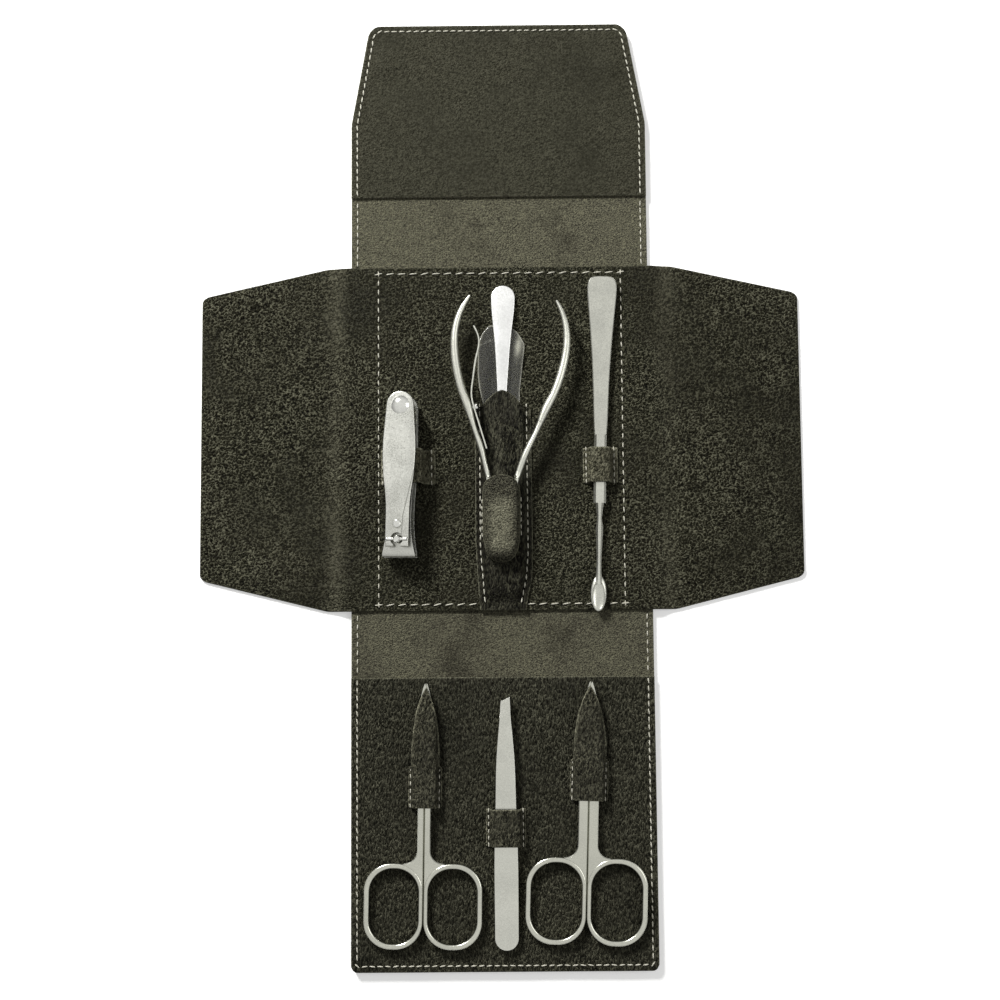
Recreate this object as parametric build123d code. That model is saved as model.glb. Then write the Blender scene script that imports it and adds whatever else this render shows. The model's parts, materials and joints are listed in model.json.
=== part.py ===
from build123d import *
import os
from math import atan2, cos, degrees, radians, sin, tan

# Manicure set case, open and flat. Millimetres. X to the right, Y towards the lid, Z up from the table.
# The origin is under the middle of the case. The inside of the case faces up.
# A long leather strip makes the lid, two spines, the back and the bottom panel. A tool panel with two
# side wings is sewn across its middle, and seven steel tools sit in straps, a pocket and sheaths.

# ---- case: driving sizes ----
strip_width = 107.6
lid_length = 65.3
top_spine_length = 25.1
centre_length = 126.2
bottom_spine_length = 21.8
bottom_panel_length = 102.6
lid_narrowing = 13.6           # the free edge is this much narrower than the strip
lid_shoulder = 28.0            # straight part of the lid's side, before it narrows
lid_corner_radius = 5.0
lid_shoulder_radius = 6.0
bottom_corner_radius = 2.5

leather = 1.1                  # outer leather of the strip
lining = 0.5
facing = 1.0                   # second leather on the lid and on the bottom panel
panel_leather = 1.0            # tool panel and wings
strap_leather = 0.9
sheath_leather = 0.8
facing_setback = 0.5           # bare lining beside a fold
tool_lift = 0.25               # air under a tool that lies on the leather
snug = 0.3                     # air between a tool and the leather round it
cut = 60.0                     # longer than any piece is thick, for cutting shapes
meet = 0.5                     # how far joined solids run into each other

magnet_diameter = 8.0
magnet_thickness = 1.2
magnet_from_side = 12.4
magnet_inset = 14.8            # from the lid's free edge
magnet_bulge = 0.4
disc_thickness = 0.5

# ---- tool panel and wings ----
panel_setback_top = 0.4        # from the fold of the top spine
panel_setback_bottom = 1.2
panel_overhang = 0.2           # beyond the strip's edge, where the gusset folds up
gusset_height = 13.6
drape_run = 8.0                # over which the leather comes down from the strip to the table
wing_corner_out = 8.5          # from the strip's edge to where the wing starts to narrow
wing_span = 216.5
wing_end_height = 102.8
wing_end_rise = 0.6            # the wing's outer edge sits this far above the panel's middle
wing_corner_radius = 2.0

# ---- heights ----
strip_top = leather + lining
facing_top = strip_top + facing
panel_top = strip_top + panel_leather

# ---- places along the case ----
total_length = (
    lid_length + top_spine_length + centre_length + bottom_spine_length + bottom_panel_length
)
half_width = strip_width / 2
lid_end_half = (strip_width - lid_narrowing) / 2
magnet_x = half_width - magnet_from_side
y_top = total_length / 2
y_lid_fold = y_top - lid_length
y_top_fold = y_lid_fold - top_spine_length
y_bottom_fold = y_top_fold - centre_length
y_panel_fold = y_bottom_fold - bottom_spine_length
y_bottom = y_panel_fold - bottom_panel_length
y_tools_top = y_top_fold - panel_setback_top
y_tools_low = y_bottom_fold + panel_setback_bottom
y_tools_mid = (y_tools_top + y_tools_low) / 2
x_gusset = half_width + panel_overhang
x_wing = x_gusset + gusset_height

os.makedirs("parts", exist_ok=True)


# ---- helpers ----
def outline(points, radii=0.0):
    """A flat face inside a closed line with rounded corners."""
    return make_face(FilletPolyline(*points, radius=radii, close=True))


def plate(face, bottom, thickness):
    """A face in the ground plane, lifted to a height and thickened upwards."""
    return extrude(Pos(0, 0, bottom) * face, amount=thickness, dir=(0, 0, 1))


def block(x_low, x_high, y_low, y_high, z_low, z_high):
    """A box between two corners."""
    place = Pos((x_low + x_high) / 2, (y_low + y_high) / 2, (z_low + z_high) / 2)
    return place * Box(x_high - x_low, y_high - y_low, z_high - z_low)


def across_case(face, y_low, y_high):
    """A face drawn in X and Z, made into a solid from y_low to y_high."""
    return extrude(Pos(0, y_low, 0) * (Plane.XZ * face), amount=y_high - y_low, dir=(0, 1, 0))


def along_case(face, half_thickness):
    """A face drawn in Y and Z, made into a solid on both sides of the middle plane."""
    placed = Pos(-half_thickness, 0, 0) * (Plane.YZ * face)
    return extrude(placed, amount=2 * half_thickness, dir=(1, 0, 0))


def ribbon(points, widths):
    """A flat face that follows a smooth line and has its own width at each point."""
    left = []
    right = []
    last = len(points) - 1
    for index, (x, y) in enumerate(points):
        before = points[max(index - 1, 0)]
        after = points[min(index + 1, last)]
        heading = atan2(after[1] - before[1], after[0] - before[0])
        across = widths[index] / 2
        left.append((x - across * sin(heading), y + across * cos(heading)))
        right.append((x + across * sin(heading), y - across * cos(heading)))
    edges = [
        Spline(*left),
        Line(left[-1], right[-1]),
        Spline(*right[::-1]),
        Line(right[0], left[0]),
    ]
    return make_face(edges)


def tapered_rod(points, widths, heights, middle):
    """An oval rod that follows a line and has its own width and height at each point."""
    sections = []
    last = len(points) - 1
    for index, (x, y) in enumerate(points):
        before = points[max(index - 1, 0)]
        after = points[min(index + 1, last)]
        heading = atan2(after[1] - before[1], after[0] - before[0])
        section_plane = Plane(
            origin=(x, y, middle),
            x_dir=(sin(heading), -cos(heading), 0),
            z_dir=(cos(heading), sin(heading), 0),
        )
        sections.append(section_plane * Ellipse(widths[index] / 2, heights[index] / 2))
    return loft(sections)


def mirror_x(shape):
    """The same shape on the other side of the middle plane."""
    return mirror(shape, about=Plane.YZ)


def bridge(x_low, x_high, foot_low, foot_high, y_low, y_high, base, height_low, height_high, skin):
    """A strap sewn down at both sides, with an opening from x_low to x_high."""
    inner = [
        (x_low, base),
        (x_low, base + height_low),
        (x_high, base + height_high),
        (x_high, base),
    ]
    outer = [
        (foot_low, base),
        (foot_low, base + skin),
        (x_low - skin, base + skin),
        (x_low - skin, base + height_low + skin),
        (x_high + skin, base + height_high + skin),
        (x_high + skin, base + skin),
        (foot_high, base + skin),
        (foot_high, base),
    ]
    bend = 0.8
    arch = outline(outer, [0, 0, skin / 2, bend + skin, bend + skin, skin / 2, 0, 0])
    hollow = outline(inner, [0, bend, bend, 0])
    section = arch - hollow
    return across_case(section, y_low, y_high)


def save(shape, node):
    """Write one named piece."""
    export_step(shape, f"parts/{node}.step")


# ---- the strip: outer leather and lining in five sections ----
lid_outline = outline(
    [
        (-half_width, y_lid_fold),
        (half_width, y_lid_fold),
        (half_width, y_lid_fold + lid_shoulder),
        (lid_end_half, y_top),
        (-lid_end_half, y_top),
        (-half_width, y_lid_fold + lid_shoulder),
    ],
    [0, 0, lid_shoulder_radius, lid_corner_radius, lid_corner_radius, lid_shoulder_radius],
)
bottom_outline = outline(
    [
        (-half_width, y_bottom),
        (half_width, y_bottom),
        (half_width, y_panel_fold),
        (-half_width, y_panel_fold),
    ],
    [bottom_corner_radius, bottom_corner_radius, 0, 0],
)

y_magnet = y_top - magnet_inset
# The discs lie where the magnets come to rest when the case is shut.
y_disc = y_panel_fold - (y_top_fold - (y_magnet - y_lid_fold) - y_bottom_fold)


def button_pair(y, bottom, thickness, diameter):
    """Two flat discs, one near each side of the case."""
    one = Pos(magnet_x, y, bottom + thickness / 2) * Cylinder(diameter / 2, thickness)
    return one + mirror_x(one)


def build_strip():
    """The five hinged sections, each an outer leather and a lining."""
    magnets = button_pair(y_magnet, strip_top - lining, magnet_thickness, magnet_diameter)
    magnet_seat = button_pair(y_magnet, strip_top - lining, magnet_thickness, magnet_diameter + 0.1)
    discs = button_pair(y_disc, strip_top - disc_thickness, disc_thickness, magnet_diameter)
    disc_seat = button_pair(y_disc, strip_top - disc_thickness, disc_thickness, magnet_diameter + 0.1)

    save(plate(lid_outline, 0, leather), "lid_leather")
    save(plate(lid_outline, leather, lining) - magnet_seat, "lid_lining")
    lid_clip = block(-strip_width, strip_width, y_lid_fold + facing_setback, y_top + 1, 0, 10)
    bulge = button_pair(y_magnet, strip_top, facing + magnet_bulge, magnet_diameter + 2.0)
    bulge = fillet(bulge.faces().sort_by(Axis.Z)[-2:].edges(), magnet_bulge - 0.05)
    lid_facing = plate(lid_outline, strip_top, facing) & lid_clip
    save(lid_facing + bulge - magnet_seat, "lid_facing")
    save(magnets, "lid_magnets")

    sections = {
        "top_spine": (y_top_fold, y_lid_fold),
        "centre": (y_bottom_fold, y_top_fold),
        "bottom_spine": (y_panel_fold, y_bottom_fold),
    }
    for name, (y_low, y_high) in sections.items():
        save(block(-half_width, half_width, y_low, y_high, 0, leather), f"{name}_leather")
        save(block(-half_width, half_width, y_low, y_high, leather, strip_top), f"{name}_lining")

    save(plate(bottom_outline, 0, leather), "bottom_panel_leather")
    save(plate(bottom_outline, leather, lining) - disc_seat, "bottom_panel_lining")
    panel_clip = block(-strip_width, strip_width, y_bottom - 1, y_panel_fold - facing_setback, 0, 10)
    save(plate(bottom_outline, strip_top, facing) & panel_clip, "bottom_panel_facing")
    save(discs, "closure_discs")


# ---- tool panel, gussets and wings ----
def build_wings():
    """The leather sewn across the middle, with a gusset and a wing at each side."""
    save(block(-x_gusset, x_gusset, y_tools_low, y_tools_top, strip_top, panel_top), "tool_panel")

    x_corner = half_width + wing_corner_out
    x_end = wing_span / 2
    y_end = y_tools_mid + wing_end_rise
    side = [
        (x_gusset, y_tools_low),
        (x_corner, y_tools_low),
        (x_end, y_end - wing_end_height / 2),
        (x_end, y_end + wing_end_height / 2),
        (x_corner, y_tools_top),
        (x_gusset, y_tools_top),
    ]
    side_outline = outline(side, [0, wing_corner_radius * 2, wing_corner_radius,
                                  wing_corner_radius, wing_corner_radius * 2, 0])
    whole_side = plate(side_outline, -1, panel_top + 2)

    x_drape = x_gusset + drape_run
    top_line = Spline((x_gusset, panel_top), (x_drape, panel_leather), tangents=[(1, 0), (1, 0)])
    low_line = Spline((x_drape, 0), (x_gusset, strip_top), tangents=[(-1, 0), (-1, 0)])
    drape = make_face(
        [
            top_line,
            Line((x_drape, panel_leather), (x_wing, panel_leather)),
            Line((x_wing, panel_leather), (x_wing, 0)),
            Line((x_wing, 0), (x_drape, 0)),
            low_line,
            Line((x_gusset, strip_top), (x_gusset, panel_top)),
        ]
    )
    gusset = across_case(drape, y_tools_low, y_tools_top) & whole_side
    wing = plate(side_outline, 0, panel_leather)
    wing = wing & block(x_wing, wing_span, y_tools_low - 1, y_tools_top + 1, -1, panel_top)
    save(gusset, "right_gusset")
    save(mirror_x(gusset), "left_gusset")
    save(wing, "right_wing")
    save(mirror_x(wing), "left_wing")


# ---- nail clipper, in its own frame: Y runs from the cutting edge to the tail ----
clipper_length = 58.4
clipper_turn = -1.0            # degrees, seen from above
clipper_lean = -7.0            # degrees, the body leans towards the wing
clipper_x = -(half_width - 18.3)
clipper_y = y_tools_mid - 43.4  # the cutting edge
clipper_body_height = 6.35      # under the strap
leaf = 1.2
tail_width = 10.4
waist_width = 8.7
jaw_width = 12.0
lower_edge_height = 3.2
jaw_gap = 2.2
upper_leaf_top = 7.2
press_angle = 2.0
post_at = 6.3                  # from the cutting edge
post_diameter = 2.4
post_foot = 0.5                # thickness of the post's flat foot
lever_thickness = 1.3
lever_gap = 2.0                # between the upper leaf and the front of the lever
lever_slope = 2.7              # degrees, down to the tail
lever_length = 55.4
lever_front = 2.7              # from the post to the lever's front end
lever_hole = 4.6
lever_step = 0.4               # the lever's sides lie lower than its middle towards the post
pin_diameter = 1.2
pin_length = 7.2
stud_diameter = 6.6
boss_diameter = 3.0
boss_at = 5.3                  # from the post
rivet_diameter = 3.0
rivet_head = 0.6
boss_height = 1.4
lever_rim = 0.45                # rounding of the lever's upper edge
stud_rise = 1.2
stud_from_tail = 4.9

clipper_ease = jaw_width / 2 * sin(radians(-clipper_lean))
clipper_place = Location(
    (clipper_x, clipper_y, panel_top + tool_lift + clipper_ease),
    (0, clipper_lean, clipper_turn),
)
lever_bottom = upper_leaf_top + lever_gap
pin_height = lever_bottom + lever_thickness - 0.3
press_line = leaf + 0.05       # height of the line that the upper leaf bends about


def leaf_plan(width_change=0.0):
    """Seen from above: flared at the jaw, narrow at the waist, round at the tail."""
    half_jaw = jaw_width / 2 + width_change
    half_waist = waist_width / 2 + width_change
    half_tail = tail_width / 2 + width_change
    tail_centre = clipper_length - half_tail
    right = [(half_jaw, 0), (half_jaw - 0.7, 3.5), (half_waist, 14.0), (half_tail, 32.0)]
    right.append((half_tail, tail_centre))
    left = [(-x, y) for x, y in right[::-1]]
    return make_face(
        [
            Spline(*right, tangents=[(-0.1, 1), (0, 1)]),
            ThreePointArc(right[-1], (0, clipper_length), left[0]),
            Spline(*left, tangents=[(0, -1), (-0.1, -1)]),
            Line(left[-1], right[0]),
        ]
    )


def leaf_solid(profile, plan):
    """A leaf is its side view, as wide as the jaw, cut to its plan."""
    return along_case(profile, jaw_width) & plate(plan, -1, 30)


def build_clipper():
    """Two sprung leaves riveted at the tail, a post through both, and a lever on its cross pin."""
    upper_edge = lower_edge_height + jaw_gap
    lower_profile = make_face(
        [
            Line((clipper_length, 0), (5.5, 0)),
            Spline((5.5, 0), (1.6, 0.9), (0, lower_edge_height), tangents=[(-1, 0), (-0.15, 1)]),
            Line((0, lower_edge_height), (0.35, lower_edge_height)),
            Spline((0.35, lower_edge_height), (2.4, 2.0), (6.5, leaf), tangents=[(0.4, -1), (1, 0)]),
            Line((6.5, leaf), (clipper_length, leaf)),
            Line((clipper_length, leaf), (clipper_length, 0)),
        ]
    )
    rise = tan(radians(press_angle + 0.1))
    tail_run = 8.4
    y_bend = clipper_length - tail_run
    under = press_line + tail_run * rise
    upper_under = upper_leaf_top - leaf
    upper_profile = make_face(
        [
            Line((clipper_length, press_line), (y_bend, under)),
            Spline((y_bend, under), (15.0, upper_under - 0.05), (7.5, upper_under - 0.1),
                   tangents=[(-1, 0.08), (-1, -0.03)]),
            Spline((7.5, upper_under - 0.1), (2.4, upper_under - 0.35), (0.35, upper_edge),
                   tangents=[(-1, -0.03), (-0.8, -1)]),
            Line((0.35, upper_edge), (0, upper_edge)),
            Spline((0, upper_edge), (1.2, upper_leaf_top - 0.35), (3.2, upper_leaf_top),
                   tangents=[(0.1, 1), (1, 0)]),
            Line((3.2, upper_leaf_top), (12.0, upper_leaf_top)),
            Spline((12.0, upper_leaf_top), (16.0, upper_leaf_top - 0.1), (y_bend, under + leaf),
                   tangents=[(1, 0), (1, -0.08)]),
            Line((y_bend, under + leaf), (clipper_length, press_line + leaf)),
            Line((clipper_length, press_line + leaf), (clipper_length, press_line)),
        ]
    )
    lower = leaf_solid(lower_profile, leaf_plan())
    upper = leaf_solid(upper_profile, leaf_plan())

    rivet_y = clipper_length - tail_width / 2
    shank_radius = rivet_diameter / 2 - 0.5
    post_radius = post_diameter / 2
    foot_radius = post_radius + 0.8
    lower = lower - Pos(0, rivet_y, 0) * Cylinder(shank_radius, cut)
    upper = upper - Pos(0, rivet_y, 0) * Cylinder(shank_radius + 0.2, cut)
    lower = lower - Pos(0, post_at, 0) * Cylinder(post_radius, cut)
    lower = lower - Pos(0, post_at, post_foot / 2) * Cylinder(foot_radius, post_foot)
    upper = upper - Pos(0, post_at, 0) * Cylinder(post_radius + 0.3, cut)

    leaf_at_rivet = press_line + (clipper_length - rivet_y) * rise + leaf
    head_low = leaf_at_rivet + 0.06
    rivet = Pos(0, rivet_y, head_low / 2) * Cylinder(shank_radius, head_low)
    head = Pos(0, rivet_y, head_low + rivet_head / 2) * Cylinder(rivet_diameter / 2, rivet_head)
    head = fillet(head.faces().sort_by(Axis.Z)[-1].edges(), 0.6 * rivet_head)
    rivet = rivet + head

    pin_radius = pin_diameter / 2
    post_top = pin_height + pin_radius + 0.5
    post = Pos(0, post_at, post_top / 2) * Cylinder(post_radius, post_top)
    post = chamfer(post.faces().sort_by(Axis.Z)[-1].edges(), 0.35)
    post = post + Pos(0, post_at, post_foot / 2) * Cylinder(foot_radius, post_foot)
    pin_axis = Pos(0, post_at, pin_height) * Rot(0, 90, 0)
    post = post - pin_axis * Cylinder(pin_radius, 4 * post_diameter)
    pin = pin_axis * Cylinder(pin_radius, pin_length)

    # The lever lies upside down on the body, and its notch opens to the front round the post.
    hinge_seat = pin_axis * Cylinder(pin_radius + 0.1, pin_length + snug)
    front = -lever_front
    tail = lever_length - lever_front
    half_front = 4.1
    shape = [(half_front, front), (half_front, 9.0), (5.7, 26.0), (5.9, 33.0), (4.9, tail - stud_from_tail)]
    mirrored = [(-x, y) for x, y in shape[::-1]]
    lever_plan = make_face(
        [
            Line(shape[0], shape[1]),
            Spline(*shape[1:], tangents=[(0, 1), (-0.06, 1)]),
            ThreePointArc(shape[-1], (0, tail), mirrored[0]),
            Spline(*mirrored[:-1], tangents=[(-0.06, -1), (0, -1)]),
            Line(mirrored[-2], mirrored[-1]),
            Line(mirrored[-1], shape[0]),
        ]
    )
    lever = plate(lever_plan, 0, lever_thickness)
    crown = lever.faces().sort_by(Axis.Z)[-1].edges()
    lever = fillet(crown, lever_rim)
    tongue_plan = outline([(boss_diameter / 2, 0), (1.9, 8.5), (half_front + 1.2, 24.0), (9, 27.0), (9, 0)])
    beside = plate(tongue_plan, lever_thickness - lever_step, 2 * lever_step)
    lever = lever - beside - mirror_x(beside)
    tilt = Pos(0, post_at, lever_bottom) * Rot(-lever_slope, 0, 0)
    lever = tilt * lever
    lever = lever - Pos(0, post_at, 0) * Cylinder(lever_hole / 2, cut)
    notch_half = post_radius + 0.15
    lever = lever - block(-notch_half, notch_half, -lever_front, post_at, 0, cut)
    lever = lever - hinge_seat
    boss_seat = Pos(0, boss_at, lever_thickness) * Cylinder(boss_diameter / 2, boss_height)
    boss = fillet(boss_seat.faces().sort_by(Axis.Z)[-1].edges(), 0.4 * boss_height)
    stud_at = tail - stud_from_tail
    stud_ball = (stud_diameter / 2) ** 2 / (2 * stud_rise) + stud_rise / 2
    stud = Pos(0, stud_at, lever_thickness + stud_rise - stud_ball) * Sphere(stud_ball)
    above = block(-cut, cut, 0, cut, lever_thickness, lever_thickness + stud_rise)
    stud = stud & above
    stud_shank = Pos(0, stud_at, lever_thickness / 2) * Cylinder(1.2, lever_thickness)
    lever = lever - tilt * boss_seat - tilt * stud_shank
    pieces = {
        "clipper_lower_leaf": lower,
        "clipper_upper_leaf": upper,
        "clipper_tail_rivet": rivet,
        "clipper_post": post,
        "clipper_cross_pin": pin,
        "clipper_lever": lever,
        "clipper_lever_boss": tilt * boss,
        "clipper_lever_stud": tilt * (stud + stud_shank),
    }
    for name, piece in pieces.items():
        save(clipper_place * piece, name)


# ---- clipper strap: over the body, under the lever ----
clipper_strap_low = clipper_y + 26.5
clipper_strap_high = clipper_y + 38.7
clipper_strap_foot_left = 2.1
clipper_strap_foot_right = 3.9


def build_clipper_strap():
    """Its top leans with the body, so that the lever lies flat on it."""
    y_mid = (clipper_strap_low + clipper_strap_high) / 2
    x_mid = clipper_x - (y_mid - clipper_y) * tan(radians(clipper_turn))
    lean = tan(radians(-clipper_lean))
    reach_low = jaw_width / 2
    reach_high = reach_low + snug
    centre_height = tool_lift + clipper_ease + clipper_body_height
    strap = bridge(
        x_mid - reach_low,
        x_mid + reach_high,
        x_mid - reach_low - clipper_strap_foot_left,
        x_mid + reach_high + clipper_strap_foot_right,
        clipper_strap_low,
        clipper_strap_high,
        panel_top,
        centre_height - reach_low * lean,
        centre_height + reach_high * lean,
        strap_leather,
    )
    save(strap, "clipper_strap")


# ---- file, its clear sleeve and its pocket ----
file_turn = -1.0
file_x = 0.6
file_y = y_tools_mid + 16.6
file_thickness = 1.2
grit = 0.1
sleeve_thickness = 0.25
pocket_left = -7.5
pocket_right = 9.3
pocket_top = y_tools_mid + 16.6
pocket_shoulder = pocket_top - 5.2
pocket_flange = 1.8
sleeve_lift = 0.05
pocket_room = file_thickness + 2 * grit + sleeve_thickness + sleeve_lift + 0.4
pocket_roof = 0.95
pocket_height = pocket_room + pocket_roof
pocket_z_top = panel_top + pocket_height
file_bottom = panel_top + sleeve_lift + sleeve_thickness + 0.15


def build_file():
    """A flat handle that narrows to a neck, and a pointed blade with grit on both faces."""
    right = [(4.3, 34.0), (3.3, 22.0), (1.75, 0.0), (1.7, -5.0), (3.2, -12.0), (3.1, -30.0), (2.2, -56.0)]
    tip = (0, -67.0)
    left = [(-x, y) for x, y in right]
    face = make_face(
        [
            ThreePointArc(left[0], (0, 38.3), right[0]),
            Spline(*right, tangents=[(0, -1), (-0.08, -1)]),
            Line(right[-1], tip),
            Line(tip, left[-1]),
            Spline(*left[::-1], tangents=[(-0.08, 1), (0, 1)]),
        ]
    )
    place = Pos(file_x, file_y, 0) * Rot(0, 0, file_turn)
    body = plate(face, file_bottom + grit, file_thickness)
    body = fillet(body.faces().sort_by(Axis.Z)[-1].edges(), 0.3)
    save(place * body, "file_body")
    blade = outline(
        [(2.7, -13.5), (2.6, -30.0), (1.8, -55.5), (0, -65.0), (-1.8, -55.5), (-2.6, -30.0), (-2.7, -13.5)]
    )
    low = plate(blade, file_bottom, grit)
    high = plate(blade, file_bottom + grit + file_thickness, grit)
    save(place * Compound([low.solid(), high.solid()]), "file_grit")

    # The sleeve: a straight part in the pocket and two uneven lobes above it.
    sleeve = make_face(
        [
            Polyline((-6.3, -49.0), (-6.3, -4.0), (-7.9, 8.0), (-7.9, 21.0), (-3.5, 24.9), (4.4, 24.1)),
            Spline((4.4, 24.1), (7.3, 21.1), (9.2, 16.7), (8.3, 6.8), (7.0, -10.0),
                   tangents=[(1, -0.6), (-0.05, -1)]),
            Polyline((7.0, -10.0), (7.0, -49.0), (-6.3, -49.0)),
        ]
    )
    save(Pos(0, file_y, 0) * plate(sleeve, panel_top + sleeve_lift, sleeve_thickness), "file_sleeve")


def pocket_outline(grow):
    """Straight sides, a round tab at the top, and a narrower foot."""
    left = pocket_left - grow
    right = pocket_right + grow
    middle = file_x
    y_foot = y_tools_low + 4.0
    foot_in = 1.3
    return make_face(
        [
            Polyline(
                (left, pocket_shoulder),
                (left, y_foot + 18.0),
                (left + foot_in, y_foot),
                (right - 3.0, y_foot),
                (right, y_foot + 24.0),
                (right, pocket_shoulder),
            ),
            Spline(
                (right, pocket_shoulder),
                (middle + 4.6, pocket_top - 1.6),
                (middle, pocket_top),
                (middle - 4.6, pocket_top - 1.6),
                (left, pocket_shoulder),
            ),
        ]
    )


def build_pocket():
    """A leather pocket, sewn down along both sides, open at the top."""
    flange = plate(pocket_outline(pocket_flange), panel_top, strap_leather)
    flange = flange & block(-half_width, half_width, y_tools_low, pocket_shoulder, 0, cut)
    hood = plate(pocket_outline(0), panel_top, pocket_height)
    hood = fillet(hood.faces().sort_by(Axis.Z)[-1].edges(), 0.8)
    room = outline(
        [
            (pocket_left + 0.9, pocket_top + 5),
            (pocket_left + 0.9, y_tools_low + 22),
            (pocket_left + 2.6, y_tools_low + 6),
            (pocket_right - 4.4, y_tools_low + 6),
            (pocket_right - 1.0, y_tools_low + 28),
            (pocket_right - 1.0, pocket_top + 5),
        ]
    )
    room = plate(room, panel_top - 1, pocket_room + 1)
    save(flange + hood - room, "file_pocket")


# ---- cuticle nipper, in its own frame: the pivot is the origin and the handles point along +Y ----
nipper_turn = -3.8
nipper_x = -0.2
nipper_y = y_tools_mid - 26.4
nipper_thickness = 5.5
nipper_handle = 3.4
nipper_bottom = pocket_z_top + snug
nipper_middle = nipper_bottom + nipper_thickness / 2
lap_radius = 5.0
lap_gap = 0.1
lap_air = 0.35                 # round the other half's disc
jaw_opening = 8.0              # degrees between the jaws as the nipper lies in its sheath
jaw_length = 14.5
nipper_screw = 3.2
jaw_tip_half = 1.1
groove_width = 0.5
spring_screw_at = (-12.05, 35.4)
spring_screw_diameter = 1.3
spring_width = 2.8
spring_leaf = 0.5
nipper_place = Location((nipper_x, nipper_y, 0), (0, 0, nipper_turn))


def nipper_half(level_low, level_high):
    """The half whose handle is on the right and whose jaw crosses to the left."""
    # Each row: x, y, width and height of the oval section. The handle grows thicker past the groove.
    sections = [
        (4.3, 10.4, 2.9, 3.4),
        (7.5, 19.0, 2.3, 3.3),
        (9.9, 25.4, 2.2, 3.2),
        (12.0, 30.8, 2.4, 3.2),
        (13.2, 34.3, 3.0, 3.5),
        (15.9, 40.6, 3.1, 3.5),
        (18.4, 48.2, 3.1, 3.4),
        (19.9, 56.5, 2.9, 3.2),
        (19.7, 65.5, 2.5, 2.9),
        (18.0, 71.3, 1.9, 2.2),
        (15.6, 75.8, 0.9, 1.1),
    ]
    handle_line = [row[0:2] for row in sections]
    handle_widths = [row[2] for row in sections]
    handle_heights = [row[3] for row in sections]
    handle = tapered_rod(handle_line, handle_widths, handle_heights, nipper_middle)
    groove_at = Pos(12.3, 31.6, nipper_middle) * Rot(0, 0, -21)
    groove = groove_at * Box(2 * nipper_handle, groove_width, 2 * nipper_handle)
    groove_core = groove_at * Box(2.1, 2 * groove_width, 2.9)
    handle = handle - (groove - groove_core)
    neck = outline([(1.2, 3.0), (4.2, 1.6), (5.7, 10.6), (3.0, 12.0)], 0)
    handle_low = nipper_middle - nipper_handle / 2
    neck_full = plate(neck, handle_low, nipper_handle)
    keep_out = Cylinder(lap_radius + lap_air, cut)
    neck_full = neck_full - keep_out
    neck_lap = plate(neck, level_low, level_high - level_low)
    disc_height = level_high - level_low
    disc = Pos(0, 0, (level_low + level_high) / 2) * Cylinder(lap_radius, disc_height)
    jaw_face = make_face(
        [
            Line((-0.05, -1.0), (-0.05, -jaw_length)),
            Spline((-0.05, -jaw_length), (-2.2, -12.0), (-3.7, -7.5), (-4.2, -1.0),
                   tangents=[(-1, 0.15), (0, 1)]),
            Line((-4.2, -1.0), (-0.05, -1.0)),
        ]
    )
    jaw = plate(jaw_face, nipper_bottom, nipper_thickness)
    jaw_lap = plate(jaw_face, level_low, disc_height)
    thin = make_face(
        Polyline(
            (-jaw_length - 1, nipper_middle - jaw_tip_half),
            (-lap_radius, nipper_bottom - 0.01),
            (-lap_radius, nipper_bottom + nipper_thickness + 0.01),
            (-jaw_length - 1, nipper_middle + jaw_tip_half),
            close=True,
        )
    )
    taper = along_case(thin, 2 * lap_radius)
    jaw = (jaw & taper) - keep_out
    swing = Rot(0, 0, -jaw_opening / 2)
    return handle + neck_full + neck_lap + disc + swing * jaw + swing * jaw_lap


def build_nipper():
    """Two crossed halves on one screw, and a leaf spring screwed to the left handle."""
    lap_low = nipper_bottom
    lap_high = nipper_bottom + nipper_thickness
    bore = Cylinder(nipper_screw / 2, cut)
    wide_bore = Cylinder(nipper_screw / 2 + 0.05, cut)
    left = mirror_x(nipper_half(lap_low, nipper_middle - lap_gap / 2)) - bore
    right = nipper_half(nipper_middle + lap_gap / 2, lap_high) - wide_bore
    screw = Pos(0, 0, nipper_middle) * Cylinder(nipper_screw / 2, nipper_thickness)
    slot = Pos(0, 0, lap_high) * Rot(0, 0, 35) * Box(2 * nipper_screw, 0.6, 1.0)
    screw = screw - slot

    spring_line = [
        (-6.2, 20.9),
        (-8.5, 27.2),
        (-10.93, 33.7),
        (-12.05, 36.8),
        (-12.75, 40.0),
        (-12.6, 45.5),
        (-11.9, 53.5),
        (-11.35, 60.2),
        (-12.3, 62.8),
        (-13.5, 64.8),
    ]
    spring_low = nipper_middle - spring_width / 2
    spring = plate(ribbon(spring_line, [spring_leaf] * len(spring_line)), spring_low, spring_width)
    # The spring screw's own axis points out of the handle, from the handle's inner side.
    screw_heading = Pos(*spring_screw_at, nipper_middle) * Rot(0, 0, 21) * Rot(0, 90, 0)
    thread_radius = spring_screw_diameter / 2
    spring = spring - screw_heading * Cylinder(thread_radius + 0.05, 3.0)
    tapped = screw_heading * Pos(0, 0, -1.0) * Cylinder(thread_radius, 3.0)
    left = left - tapped
    stem = screw_heading * Pos(0, 0, -0.15) * Cylinder(thread_radius, 2.1)
    head = screw_heading * Pos(0, 0, 1.25) * Cylinder(1.2, 1.0)
    head_slot = screw_heading * Pos(0, 0, 1.75) * Box(3.0, 0.4, 0.6)
    spring_screw = stem + head - head_slot
    pieces = {
        "nipper_left_half": left,
        "nipper_right_half": right,
        "nipper_pivot_screw": screw,
        "nipper_spring": spring,
        "nipper_spring_screw": spring_screw,
    }
    for name, piece in pieces.items():
        save(nipper_place * piece, name)


# ---- nipper sheath, on top of the file pocket ----
nipper_sheath_left = -7.2
nipper_sheath_right = 7.0
nipper_sheath_top = nipper_y + 12.6
nipper_sheath_low = nipper_y - 18.3


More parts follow.
